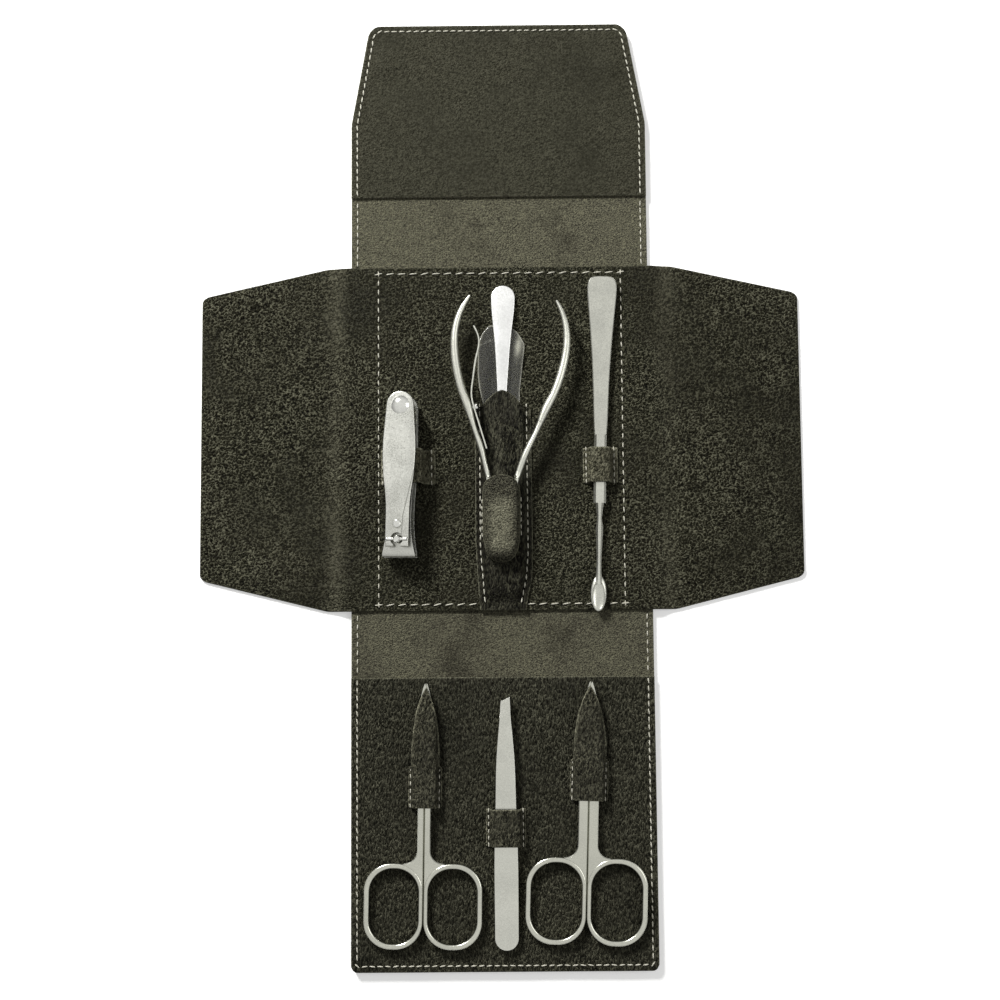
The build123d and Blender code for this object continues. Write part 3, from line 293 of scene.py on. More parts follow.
# Stainless steels, matt, satin or bright: their pits are drawn 0.45 mm wide, coarser than real, and their gaps and
# inner corners get painted shade.
FILE_STEEL = steel("matt_stainless_file", "#dededb", 0.34, vary=0.03)
CLIPPER_STEEL = steel("blasted_stainless_clipper", "#b5b5ad", 0.30)
TWEEZER_STEEL = steel("satin_stainless_tweezers", "#bebeb4", 0.30, vary=0.05)
PUSHER_STEEL = steel("satin_stainless_pusher", "#b8b8ae", 0.28, vary=0.05)
SCISSOR_STEEL = steel("bright_stainless_scissors", "#b8b8ac", 0.22, vary=0.05)
NIPPER_STEEL = steel("satin_stainless_nipper", "#bcbcb1", 0.36, vary=0.05, corner=0.7)
# Polished screws and pins: nearly flat, with faint waves about 0.8 mm long.
BRIGHT = steel("polished_stainless", "#cfcfc8", 0.16, blast=0.8, blast_depth=0.001, vary=0.03)
# Bonded grit, with grains drawn 0.25 mm wide, coarser than real.
GRIT = steel("diamond_file_grit", "#a9a9a4", 0.5, blast=0.25, blast_depth=0.03)
# Nickel plate, satin, with the same 0.45 mm pits.
NICKEL = steel("nickel_plated_steel", "#a8a8a2", 0.3)
THREAD = thread("waxed_beige_thread", "#a3a08f", "#dbd8c8")
VINYL = film("clear_soft_vinyl")


# ---- sheets of leather ----
def inside_steps(low, high, spacing, soft_low=True, soft_high=True):
    """Places from low to high, closer together beside a free edge."""
    rim = [0.0, 0.12, 0.35, 0.8]
    start = [low + r for r in rim] if soft_low else [low]
    end = [high - r for r in rim[::-1]] if soft_high else [high]
    count = max(2, int(round((end[0] - start[-1]) / spacing)))
    middle = list(np.linspace(start[-1], end[0], count + 1)[1:-1])
    return start + middle + end


def edge_fall(distance, skin):
    """How far the surface falls beside a free edge: a worn, rounded corner."""
    radius = min(0.45 * skin, 0.5)
    if distance >= radius:
        return 0.0
    return radius - math.sqrt(max(radius * radius - (radius - distance) ** 2, 0.0))


def swell(x, y, size, seed=0.0):
    """Slow, soft unevenness of real hide, from -1 to 1."""
    return noise.noise(Vector((x / size + seed, y / size - seed, seed * 0.37)))


@contextmanager
def edited(mesh):
    """A mesh's geometry, to be changed in place."""
    shape = bmesh.new()
    shape.from_mesh(mesh)
    yield shape
    shape.to_mesh(mesh)
    shape.free()


def build_mesh(name, vertices, faces, material, wear=None, crease=50):
    """A finished object at the origin, from points in millimetres. wear is how rubbed each point is, with painted
    highlights in some pieces.
    """
    mesh = bpy.data.meshes.new(name)
    mesh.from_pydata([(x * MM, y * MM, z * MM) for x, y, z in vertices], [], faces)
    if wear:
        rubbed = mesh.attributes.new("wear", "FLOAT", "POINT")
        rubbed.data.foreach_set("value", wear)
    with edited(mesh) as shape:
        bmesh.ops.remove_doubles(shape, verts=shape.verts, dist=1e-7)
        bmesh.ops.recalc_face_normals(shape, faces=shape.faces)
    mesh.materials.append(material)
    piece = new_object(name, mesh)
    soften(piece, crease)
    return piece


def soften(piece, angle):
    """Smooth shading that keeps the corners sharper than an angle in degrees."""
    limit = math.radians(angle)
    with edited(piece.data) as shape:
        for face in shape.faces:
            face.smooth = True
        for edge in shape.edges:
            edge.smooth = len(edge.link_faces) == 2 and edge.calc_face_angle(0.0) < limit


def skin_faces(n_rows, n_cols):
    """Faces of a closed skin over two equal grids of points, the top one first, with a wall round the rim."""
    count = n_rows * n_cols
    faces = []
    for r in range(n_rows - 1):
        for c in range(n_cols - 1):
            a = r * n_cols + c
            b = count + a
            faces.append((a, a + 1, a + n_cols + 1, a + n_cols))
            faces.append((b, b + n_cols, b + n_cols + 1, b + 1))
    ring = list(range(n_cols)) + [r * n_cols + n_cols - 1 for r in range(1, n_rows)]
    ring += [(n_rows - 1) * n_cols + c for c in range(n_cols - 2, -1, -1)]
    ring += [r * n_cols for r in range(n_rows - 2, 0, -1)]
    for i, a in enumerate(ring):
        b = ring[(i + 1) % len(ring)]
        faces.append((a, count + a, count + b, b))
    return faces


def thick_sheet(name, rows, span, low, skin, material, spacing=1.6, swap=False, free=(True, True), lift=None,
        columns=None, rub=None, place=(0.0, 0.0, 0.0), crease=50):
    """Leather between span(t) on every row t, from the height low(x, y) and skin thick.

    swap runs the rows along X. free says which end rows are real edges and not a cut where the next piece goes on.
    rub(x, y, distance) is how worn it is, with a painted highlight in some pieces. place is where the piece's own
    frame lies: x, y and a turn in degrees.
    """
    ts = inside_steps(rows[0], rows[1], spacing, free[0], free[1])
    widest = max(span(t)[1] - span(t)[0] for t in ts)
    places = inside_steps(0.0, widest, spacing) if columns is None else columns
    top, bottom, wear = [], [], []
    turn_cos, turn_sin = math.cos(math.radians(place[2])), math.sin(math.radians(place[2]))
    for t in ts:
        s_low, s_high = span(t)
        width = s_high - s_low
        for column in places:
            if column < 1.0:
                s = s_low + min(column, width / 2)
            elif column > widest - 1.0:
                s = s_high - min(widest - column, width / 2)
            else:
                share = (column - 1.0) / (widest - 2.0)
                s = s_low + min(1.0, width / 2) + share * max(width - 2.0, 0.0)
            distance = min(s - s_low, s_high - s)
            if free[0]:
                distance = min(distance, t - rows[0])
            if free[1]:
                distance = min(distance, rows[1] - t)
            x, y = (t, s) if swap else (s, t)
            base = low(x, y)
            fall = edge_fall(distance, skin)
            raised = lift(x, y, distance) if lift else 0.0
            # A cut edge is paler than the dyed face, and less so where the piece runs to a point.
            edge = max(0.0, 1.0 - distance / EDGE_WEAR_WIDTH) * EDGE_WEAR * min(1.0, width / 5.0)
            wear.append(min(1.0, edge + (rub(x, y, distance) if rub else 0.0)))
            gx = place[0] + x * turn_cos - y * turn_sin
            gy = place[1] + x * turn_sin + y * turn_cos
            top.append((gx, gy, base + skin - fall + raised))
            bottom.append((gx, gy, base + fall * 0.7))
    faces = skin_faces(len(ts), len(places))
    return build_mesh(name, top + bottom, faces, material, wear + wear, crease)


def rounded(points, radii, steps=10):
    """A closed outline with rounded corners, as points."""
    out = []
    count = len(points)
    for i in range(count):
        here = Vector(points[i])
        before = (Vector(points[i - 1]) - here).normalized()
        after = (Vector(points[(i + 1) % count]) - here).normalized()
        radius = radii[i]
        if radius <= 0:
            out.append(tuple(here))
            continue
        half = before.angle(after) / 2
        reach = radius / math.tan(half)
        middle = here + (before + after).normalized() * (radius / math.sin(half))
        first = here + before * reach - middle
        last = here + after * reach - middle
        turn = first.angle_signed(last)
        for k in range(steps + 1):
            angle = turn * k / steps
            c, s = math.cos(-angle), math.sin(-angle)
            out.append((middle.x + first.x * c - first.y * s, middle.y + first.x * s + first.y * c))
    return out


def span_of(outline, swap=False):
    """A function that gives the outline's lowest and highest place on a row."""
    points = [(b, a) for a, b in outline] if swap else outline

    def span(t):
        found = []
        for i in range(len(points)):
            (s0, t0), (s1, t1) = points[i], points[(i + 1) % len(points)]
            if abs(t1 - t0) < 1e-9:
                if abs(t - t0) < 1e-6:
                    found += [s0, s1]
                continue
            share = (t - t0) / (t1 - t0)
            if -1e-6 <= share <= 1 + 1e-6:
                found.append(s0 + share * (s1 - s0))
        return min(found), max(found)

    return span


# ---- the strip ----
LID_LINE = rounded(
    [(-HALF_WIDTH, Y_LID_FOLD), (-HALF_WIDTH, Y_LID_FOLD + LID_SHOULDER), (-LID_END_HALF, Y_TOP),
     (LID_END_HALF, Y_TOP), (HALF_WIDTH, Y_LID_FOLD + LID_SHOULDER), (HALF_WIDTH, Y_LID_FOLD)],
    [0, 6, 5, 5, 6, 0])
LID_SPAN = span_of(LID_LINE)
BOTTOM_LINE = rounded(
    [(-HALF_WIDTH, Y_BOTTOM), (-HALF_WIDTH, Y_PANEL_FOLD), (HALF_WIDTH, Y_PANEL_FOLD), (HALF_WIDTH, Y_BOTTOM)],
    [2.5, 0, 0, 2.5])
BOTTOM_SPAN = span_of(BOTTOM_LINE)


def strip_span(y):
    """The strip's left and right edge at any height of the case."""
    if y > Y_LID_FOLD:
        return LID_SPAN(min(y, Y_TOP))
    if y < Y_PANEL_FOLD:
        return BOTTOM_SPAN(max(y, Y_BOTTOM))
    return -HALF_WIDTH, HALF_WIDTH


def seam_furrow(distance, at, depth=0.14, half=0.9):
    """The shallow channel that a tight seam pulls into the leather."""
    near = abs(distance - at) / half
    return -depth * (1 - near * near) if near < 1 else 0.0


SEAM_IN = 2.2
# Each piece: its rows, the two bodies and the fold that it spans (the loop uses neither), its free ends and the
# nodes it stands for.
STRIP_PIECES = [
    ("lid", (92.65, Y_TOP), ("top_spine", "lid"), Y_LID_FOLD, (False, True), ("lid_leather",), ("lid_lining",)),
    ("upper_back", (17.0, 92.65), ("case_back", "top_spine"), Y_TOP_FOLD, (False, False),
     ("top_spine_leather",), ("top_spine_lining",)),
    ("lower_back", (-57.0, 17.0), ("case_back", "bottom_spine"), Y_BOTTOM_FOLD, (False, False),
     ("centre_leather",), ("centre_lining",)),
    ("bottom", (Y_BOTTOM, -57.0), ("bottom_spine", "bottom_panel"), Y_PANEL_FOLD, (True, False),
     ("bottom_panel_leather", "bottom_spine_leather"), ("bottom_panel_lining", "bottom_spine_lining")),
]


def lining_lift(x, y, distance):
    """Stitched edge, and a faint unevenness."""
    lift = seam_furrow(distance if abs(x) > 40 else 9, SEAM_IN)
    return lift + 0.05 * swell(x, y, 14, 3.1)


for label, rows, bends, fold, free, shells, linings in STRIP_PIECES:
    shell = thick_sheet(f"{label}_outer_leather", rows, strip_span, lambda x, y: 0.0, LEATHER, OUTER, 2.4,
            free=free)
    inner = thick_sheet(f"{label}_suede", rows, strip_span, lambda x, y: LEATHER, STRIP_TOP - LEATHER, LINING,
            1.8, free=free, lift=lining_lift)
    for piece, nodes, slot in ((shell, shells, "outer_leather"), (inner, linings, "suede_lining")):
        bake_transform(piece)
        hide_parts(*nodes)


def lid_relief(x, y, distance):
    """The magnets' round swells, the seam's channel and a soft unevenness."""
    lift = seam_furrow(distance if y > Y_LID_FOLD + 3 or abs(x) > 40 else 9, SEAM_IN)
    for side in (-1, 1):
        reach = math.hypot(x - side * MAGNET_X, y - MAGNET_Y)
        if reach < MAGNET_SWELL_REACH:
            lift += MAGNET_SWELL * (0.5 + 0.5 * math.cos(math.pi * reach / MAGNET_SWELL_REACH))
    return lift + 0.10 * swell(x, y, 22, 1.3) + 0.04 * swell(x, y, 7, 8.2)


lid_face = thick_sheet("lid_facing_leather", (Y_LID_FOLD + 0.5, Y_TOP), LID_SPAN, lambda x, y: STRIP_TOP, 1.0,
        LID_FACE, 1.3, lift=lid_relief)
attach(lid_face, "lid")
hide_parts("lid_facing")


def bottom_relief(x, y, distance):
    """Seam channel and the hide's soft unevenness."""
    lift = seam_furrow(distance if y < Y_PANEL_FOLD - 3 or abs(x) > 40 else 9, SEAM_IN)
    return lift + 0.10 * swell(x, y, 18, 5.3) + 0.05 * swell(x, y, 6, 2.2)


bottom_face = thick_sheet("bottom_facing_leather", (Y_BOTTOM, Y_PANEL_FOLD - 0.5), BOTTOM_SPAN,
        lambda x, y: STRIP_TOP, 1.0, FACING, 1.3, lift=bottom_relief)
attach(bottom_face, "bottom_panel")
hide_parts("bottom_panel_facing")


# ---- tool panel and wings: one soft sheet in five pieces, which drapes down beside the strip ----
WING_LINE = rounded(
    [(X_GUSSET - 10, Y_TOOLS_LOW), (X_GUSSET - 10, Y_TOOLS_TOP), (X_CORNER, Y_TOOLS_TOP),
     (X_END, WING_MID + WING_END_HALF), (X_END, WING_MID - WING_END_HALF), (X_CORNER, Y_TOOLS_LOW)],
    [0, 0, 8, 3, 3, 8])
WING_SPAN = span_of(WING_LINE, swap=True)


def panel_span(x):
    """The panel's lower and upper edge at any distance from the middle."""
    reach = abs(x)
    if reach < X_GUSSET:
        return Y_TOOLS_LOW, Y_TOOLS_TOP
    return WING_SPAN(min(reach, X_END))


def panel_low(x, y):
    """The sheet lies on the strip, comes down beside it and rests on the table."""
    share = min(max((abs(x) - X_GUSSET) / 8.0, 0.0), 1.0)
    return STRIP_TOP * (1 - share * share * (3 - 2 * share))


def panel_relief(x, y, distance):
    """Soft folds beside the strip, the sewn rectangle and the hide's unevenness."""
    reach = abs(x)
    seam_x = abs(reach - BOX_SEAM_X)
    inside_y = Y_TOOLS_LOW + 1 < y < Y_TOOLS_TOP - 1
    lift = seam_furrow(seam_x, 0.0, 0.12) if inside_y else 0.0
    if reach < BOX_SEAM_X:
        lift += seam_furrow(distance, 2.4, 0.12)
    side = 0.0
    if reach > 46:
        side = min((reach - 46) / 10.0, 1.0)
    folds = 0.45 * swell(x, y, 17, 6.1) + 0.22 * swell(x, y * 0.6, 6.5, 2.7)
    edge = min(distance / 6.0, 1.0)
    lift += side * (0.35 + folds) * edge + 0.07 * swell(x, y, 9, 4.4)
    return max(lift, -0.25) if reach > X_CORNER else lift


def panel_bend_highlight_and_rub(x, y, distance):
    """A painted highlight where the leather bends down beside the strip, and paler patches here and there on the
    wings.
    """
    # Painted highlight: a pale band along the bend, where the fold would catch the light.
    bend = math.exp(-((abs(x) - 59.5 - 1.5 * swell(x * 0.3, y, 20, 2.9)) / 3.2) ** 2)
    patches = 0.10 * max(0.0, swell(x, y, 30, 4.7)) * (abs(x) > 62)
    return 0.42 * bend * (0.75 + 0.5 * swell(x, y, 13, 7.1)) + patches


def panel_sheet(name, rows, spacing, free, columns=None):
    """One part of the soft sheet that the tool panel and the wings share."""
    return thick_sheet(name, rows, panel_span, panel_low, 1.0, PEBBLED, spacing, swap=True, free=free,
            lift=panel_relief, columns=columns, rub=panel_bend_highlight_and_rub)


middle = panel_sheet("tool_panel_leather", (-PANEL_PIECE_END, PANEL_PIECE_END), 1.3, (False, False))
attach(middle, "case_back")
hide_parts("tool_panel")
SIDE_COLUMNS = inside_steps(0.0, Y_TOOLS_TOP - Y_TOOLS_LOW, 1.3)
for side, sign in (("left", -1), ("right", 1)):
    near_rows = sorted((sign * PANEL_PIECE_END, sign * GUSSET_MIDDLE))
    far_rows = sorted((sign * GUSSET_MIDDLE, sign * X_END))
    near = panel_sheet(f"{side}_gusset_leather", near_rows, 0.9, (False, False), SIDE_COLUMNS)
    far = panel_sheet(f"{side}_wing_leather", far_rows, 1.3, (sign < 0, sign > 0), SIDE_COLUMNS)
    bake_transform(near)
    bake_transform(far)
    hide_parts(f"{side}_gusset")
    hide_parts(f"{side}_wing")


# ---- steel tools: the CAD shapes, with smooth shading and a fine edge break ----
# The width of the edge break in millimetres, and the angle in degrees above which an edge counts as a corner.
EDGE_BREAK, STEEL_CREASE = 0.06, 32
# Rows above the nipper's joint, in Y. Then for each handle: its side, the X of its outer side, of its inner side
# in the CAD and of its inner side here, and the Y under the cap that the step moves down to.
NECK_ROWS = [2.6, 3.0, 3.5, 4.0, 5.0, 6.0, 8.0, 10.0, 12.0]
NIPPER_NECKS = {
    "nipper_left_half": (-1, [5.57, 5.68, 5.81, 5.94, 6.20, 6.45, 6.97, 7.49, 8.05],
        [4.05, 4.22, 4.63, 4.88, 5.13, 5.21, 5.19, 5.24, 5.52],
        [3.55, 3.65, 3.78, 3.90, 4.15, 4.40, 4.90, 5.24, 5.52], 1.6),
    "nipper_right_half": (1, [7.00, 7.16, 7.37, 7.57, 7.97, 8.37, 9.18, 10.02, 10.89],
        [5.65, 5.99, 6.28, 6.47, 6.71, 6.86, 7.11, 7.51, 8.20],
        [4.65, 4.78, 4.95, 5.12, 5.45, 5.78, 6.45, 7.20, 8.10], 1.0),
}


def full_neck(node, point):
    """The handle keeps its width down to the cap: the inner side moves in, and the step hides under the cap."""
    side, outer, inner, wanted, hidden = NIPPER_NECKS[node]
    x, y = point.x / MM * side, point.y / MM
    if not 1.0 < y < 11.8 or x < 0.5:
        return
    aim = float(np.interp(y, NECK_ROWS, wanted))
    here = float(np.interp(y, NECK_ROWS, inner))
    out = float(np.interp(y, NECK_ROWS, outer))
    if y < 3.3 and x < min(here, aim + 0.9) - 0.05:
        point.y = min(y, hidden) * MM
    elif y > 2.5 and x <= out + 0.1:
        point.x = side * (out + (x - out) * (out - aim) / max(out - here, 0.3)) * MM


def finish_steel(node, material, body):
    """A merged copy of a CAD piece with rounded corners, which stands for it."""
    source = frame["nodes"][node]
    mesh = source.data.copy()
    mesh.name = f"{node}_steel"
    with edited(mesh) as shape:
        bmesh.ops.remove_doubles(shape, verts=shape.verts, dist=2e-6)
        bmesh.ops.dissolve_limit(shape, angle_limit=math.radians(0.4), verts=shape.verts, edges=shape.edges)
        if node in NIPPER_NECKS:
            for vertex in shape.verts:
                full_neck(node, vertex.co)
    mesh.materials.clear()
    mesh.materials.append(material)
    piece = new_object(f"{node}_finished", mesh)
    soften(piece, STEEL_CREASE)
    bevel = piece.modifiers.new("edge_break", "BEVEL")
    bevel.width = EDGE_BREAK * MM
    bevel.segments = 2
    bevel.limit_method = "ANGLE"
    bevel.angle_limit = math.radians(STEEL_CREASE)
    bevel.harden_normals = True
    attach(piece, body)
    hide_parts(node)


BODY_OF = {n: b for b, members in frame["record"]["behaviour"]["bodies"].items() for n in members}
STEEL_NODES = {
    FILE_STEEL: ["file_body"],
    CLIPPER_STEEL: ["clipper_lower_leaf", "clipper_upper_leaf", "clipper_lever"],
    NIPPER_STEEL: ["nipper_left_half", "nipper_right_half", "nipper_spring"],
    PUSHER_STEEL: ["pusher"],
    SCISSOR_STEEL: ["left_scissors_inner_half", "left_scissors_outer_half", "right_scissors_inner_half",
        "right_scissors_outer_half"],
    TWEEZER_STEEL: ["tweezers_lower_arm", "tweezers_upper_arm"],
    BRIGHT: ["clipper_tail_rivet", "clipper_post", "clipper_cross_pin", "clipper_lever_boss", "clipper_lever_stud",
        "nipper_pivot_screw", "nipper_spring_screw", "left_scissors_screw", "right_scissors_screw"],
    GRIT: ["file_grit"],
    NICKEL: ["lid_magnets", "closure_discs"],
}
for material, nodes in STEEL_NODES.items():
    for node in nodes:
        finish_steel(node, material, BODY_OF[node])


# ---- straps, pocket and sheaths ----
def smooth_path(points, radius, steps=6):
    """An open line with rounded corners, as close points."""
    out = [points[0]]
    for before, here, after in zip(points, points[1:], points[2:]):
        a, b, c = Vector(before), Vector(here), Vector(after)
        reach = min(radius, (a - b).length / 2, (c - b).length / 2)
        start = b + (a - b).normalized() * reach
        end = b + (c - b).normalized() * reach
        for k in range(steps + 1):
            s = k / steps
            out.append(tuple((1 - s) ** 2 * start + 2 * s * (1 - s) * b + s * s * end))
    out.append(points[-1])
    return out


def even_points(points, spacing):
    """The same line with even points."""
    points = [Vector(p) for p in points]
    lengths = [0.0]
    for a, b in zip(points, points[1:]):
        lengths.append(lengths[-1] + (b - a).length)
    count = max(2, int(round(lengths[-1] / spacing)))
    out = []
    for k in range(count + 1):
        want = lengths[-1] * k / count
        i = 0
        while i < len(lengths) - 2 and lengths[i + 1] < want:
            i += 1
        part = (want - lengths[i]) / max(lengths[i + 1] - lengths[i], 1e-9)
        out.append(points[i].lerp(points[i + 1], part))
    return out


def strap_mesh(name, path, y_low, y_high, skin, material, seed, bend=1.4):
    """A leather strap swept over a path in X and Z, from y_low to y_high. path is its underside."""
    line = even_points(smooth_path(path, bend), 0.4)
    ys = inside_steps(y_low, y_high, 0.7)
    top, bottom, wear = [], [], []
    for i, here in enumerate(line):
        before, after = line[max(i - 1, 0)], line[min(i + 1, len(line) - 1)]
        along = (after - before).normalized()
        normal = Vector((-along.y, along.x))
        end = min((here - line[0]).length, (line[-1] - here).length)
        for y in ys:
            distance = min(y - y_low, y_high - y, end)
            fall = edge_fall(distance, skin)
            wave = 0.10 * swell(here.x + here.y, y, 3.2, seed) * min(end, 1.0)
            up = here + normal * (skin - fall + wave)
            low = here + normal * (fall * 0.5)
            top.append((up.x, y, up.y))
            bottom.append((low.x, y, low.y))
            edge = max(0.0, 1.0 - distance / EDGE_WEAR_WIDTH) * EDGE_WEAR
            wear.append(edge + 0.3 * max(0.0, swell(here.x, y + seed, 2.5, seed)))
    faces = skin_faces(len(line), len(ys))
    return build_mesh(name, top + bottom, faces, material, wear + wear, 75)


def finish_soft(piece, node):
    """A soft piece that stands for its CAD node."""
    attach(piece, BODY_OF[node])
    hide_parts(node)


def smooth(value):
    """A soft step from 0 to 1."""
    value = min(max(value, 0.0), 1.0)
    return value * value * (3 - 2 * value)


# Each strap: its underside in X and Z, its lower and upper edge, leather and seed.
STRAPS = {
    "clipper_strap": ([(-43.0, 2.62), (-41.5, 2.62), (-40.9, 9.05), (-28.7, 10.6), (-28.1, 2.62), (-23.5, 2.62)],
        0.4, 12.6, PALE_STRAP, 1.7),
    "pusher_strap": ([(29.4, 2.62), (31.6, 2.62), (32.0, 6.4), (38.5, 6.4), (39.0, 2.62), (41.9, 2.62)],
        0.5, 13.0, PALE_STRAP, 4.1),
    "tweezers_strap": ([(-6.3, 2.62), (-4.3, 2.62), (-3.85, 6.5), (5.25, 6.5), (5.7, 2.62), (7.7, 2.62)],
        -127.2, -114.3, STRAP, 7.9),
}
for node, (path, y_low, y_high, material, seed) in STRAPS.items():
    finish_soft(strap_mesh(f"{node}_leather", path, y_low, y_high, 0.85, material, seed), node)

# The pocket: sewn down along both sides, with a round free tab at its mouth.
POCKET_LEFT = [(-44.9, -7.7), (-36.0, -8.5), (-20.0, -9.3), (27.9, -9.3), (28.5, -6.4), (29.6, -5.6), (31.4, -4.0),
        (33.0, -2.0), (33.7, -0.6), (34.0, 0.2)]
POCKET_RIGHT = [(-44.9, 8.7), (-40.0, 9.3), (-33.0, 10.9), (-20.0, 11.2), (27.6, 10.9), (28.2, 7.9), (29.6, 6.9),
        (31.4, 5.3), (33.0, 3.2), (33.7, 1.8), (34.0, 0.9)]


def along(points, t):
    """A value on a line of (t, value) points."""
    return float(np.interp(t, [p[0] for p in points], [p[1] for p in points]))


def pocket_span(y):
    return along(POCKET_LEFT, y), along(POCKET_RIGHT, y)


POCKET_SEAM_LEFT = [(-44.9, -5.7), (-41.0, -6.1), (-23.0, -7.5), (28.3, -7.5)]
POCKET_SEAM_RIGHT = [(-44.9, 6.5), (-41.3, 7.0), (-33.0, 8.7), (-24.0, 9.4), (28.3, 9.3)]


def pocket_low(x, y):
    """Raised between the two seams, and flat beside them and at the foot."""
    inside = min(x - along(POCKET_SEAM_LEFT, y) - 0.35, along(POCKET_SEAM_RIGHT, y) - 0.35 - x)
    foot = smooth((y + 42.5) / 5.0)
    tab = 0.25 * smooth((y - 29.0) / 5.0)
    return PANEL_TOP + (2.15 - tab) * math.sin(min(max(inside, 0.0) / 1.6, 1.0) * math.pi / 2) * foot


def pocket_relief(x, y, distance):
    """Channels along both seams, and creases that are calmer under the nipper."""
    inside = min(x - along(POCKET_SEAM_LEFT, y), along(POCKET_SEAM_RIGHT, y) - x)
    calm = smooth(inside / 2.0) * (0.3 if -28 < y < 3 else 1.0)
    return seam_furrow(abs(inside), 0.0, 0.12, 0.6) + (0.16 * swell(x, y * 0.5, 4.5, 2.2)
            + 0.05 * swell(x, y, 1.8, 5.2)) * calm


def pocket_rub(x, y, distance):
    """Rubbed at the mouth's right corner and, faintly, in patches."""
    corner = max(0.0, 1.0 - math.hypot(x - 10.2, y - 26.6) / 2.2)
    return 0.75 * corner + 0.25 * max(0.0, swell(x, y * 0.4, 5.0, 9.3))


pocket = thick_sheet("file_pocket_leather", (Y_TOOLS_LOW + 0.1, 34.0), pocket_span, pocket_low, 0.9, POCKET, 0.8,
        lift=pocket_relief, rub=pocket_rub, crease=75)
finish_soft(pocket, "file_pocket")

# The cap over the nipper's jaws: open towards the handles, round at its foot.
CAP_HALF = [(-28.0, 0.0), (-27.8, 1.7), (-27.2, 3.1), (-25.8, 4.7), (-23.5, 5.8), (-20.0, 6.5), (-10.0, 6.85),
        (-3.0, 6.75), (-1.0, 6.5), (0.0, 6.1), (1.0, 5.0), (2.0, 3.4), (2.6, 1.9), (2.9, 0.0)]
CAP_MIDDLE = 0.05


def cap_span(y):
    half = along(CAP_HALF, y)
    return CAP_MIDDLE - half, CAP_MIDDLE + half


def cap_low(x, y):
    """A soft box over the joint that falls to a round toe."""
    half = max(along(CAP_HALF, min(y, -2.0)), 0.6)
    share = min(abs(x - CAP_MIDDLE) / half, 1.0)
    across = (1 - share ** 8) ** 0.5
    toe = min(max((y + 28.0) / 7.0, 0.0), 1.0)
    rise = 5.3 + 0.9 * smooth((y + 24.0) / 14.0)
    return 5.68 + rise * across * (1 - (1 - toe) ** 2.6) ** 0.5


def cap_relief(x, y, distance):
    """Soft dents over the joint."""
    return 0.22 * swell(x, y, 4.0, 3.3) + 0.07 * swell(x, y, 1.5, 6.6)


def cap_rub(x, y, distance):
    """Rubbed along the middle."""
    middle = smooth(1.3 - abs(x - CAP_MIDDLE) / 5.0) * smooth((-3.5 - y) / 5.0) * smooth((y + 27.0) / 6.0)
    return middle * (0.65 + 0.35 * swell(x, y, 2.6, 1.1))


finish_soft(thick_sheet("nipper_sheath_leather", (-28.0, 2.9), cap_span, cap_low, 0.8, WORN, 0.55,
        lift=cap_relief, rub=cap_rub, crease=80), "nipper_sheath")


# Each pair of scissors: x, y and turn of its own frame, and half the room inside its loop.
LEFT_SCISSORS, LEFT_ROOM = (-27.7, -106.7, -1.0), 3.9
RIGHT_SCISSORS, RIGHT_ROOM = (30.0, -104.6, -2.0), 4.7
LOOP_END, LOOP_SEAM_OUT, TONGUE_RISE = 6.9, 1.15, 3.66


def scissor_cover(side, place, room, tip, lean):
    """A loop sewn over the joint that goes on as a free tongue over the blades, which leans on its way to tip."""
    foot = room + 2.0
    wide = room + 0.9
    outline = [(-LOOP_END, foot), (LOOP_END, foot), (7.5, wide + 0.1), (13.0, wide + 0.15),
            (tip - 15.0, wide * 0.93), (tip - 9.0, wide * 0.74), (tip - 4.5, wide * 0.47),
            (tip - 1.5, wide * 0.2), (tip, 0.05)]

    def span(y):
        half = along(outline, y)
        middle = lean * smooth((y - 10) / (tip - 10)) + 0.1
        return middle - half, middle + half

    def low(x, y):
        """Sewn down beside the room at the loop, and drooping at the sides along the tongue."""
        reach = abs(x - lean * smooth((y - 10) / (tip - 10)))
        sewn = 1 - smooth((reach - room - 0.05) / 0.9)
        half = along(outline, y)
        droop = 1.7 * smooth((reach - 3.3) / max(half - 3.3, 0.8)) if half > 3.4 else 0.0
        free = smooth((y - 5.2) / 4.5)
        return FACING_TOP + TONGUE_RISE * sewn * (1 - free) + (TONGUE_RISE - droop) * free

    def relief(x, y, distance):
        """The loop's two seams, and soft creases."""
        seam = abs(abs(x) - room - LOOP_SEAM_OUT)
        furrow = seam_furrow(seam, 0.0, 0.12, 0.5) if y < LOOP_END else 0.0
        return furrow + 0.16 * swell(x * 0.7 + y, y, 3.4, place[0]) * smooth((foot - abs(x)) / 1.5)

    def rub(x, y, distance):
        """Rubbed where the tongue's edge curls, and faintly in patches."""
        curl = max(0.0, 1.0 - distance / 0.5) * smooth((y - 12) / 5.0) * (1.0 if x < 0 else 0.5)
        return 0.6 * curl + 0.2 * max(0.0, swell(x, y, 3.0, 7.7 + place[0]))

    piece = thick_sheet(f"{side}_scissors_sheath_leather", (-LOOP_END, tip), span, low, 0.8, STRAP, 0.55,
            lift=relief, rub=rub, place=place, crease=80)
    finish_soft(piece, f"{side}_scissors_sheath")


scissor_cover("left", LEFT_SCISSORS, LEFT_ROOM, 34.8, 0.0)
scissor_cover("right", RIGHT_SCISSORS, RIGHT_ROOM, 33.0, -0.4)

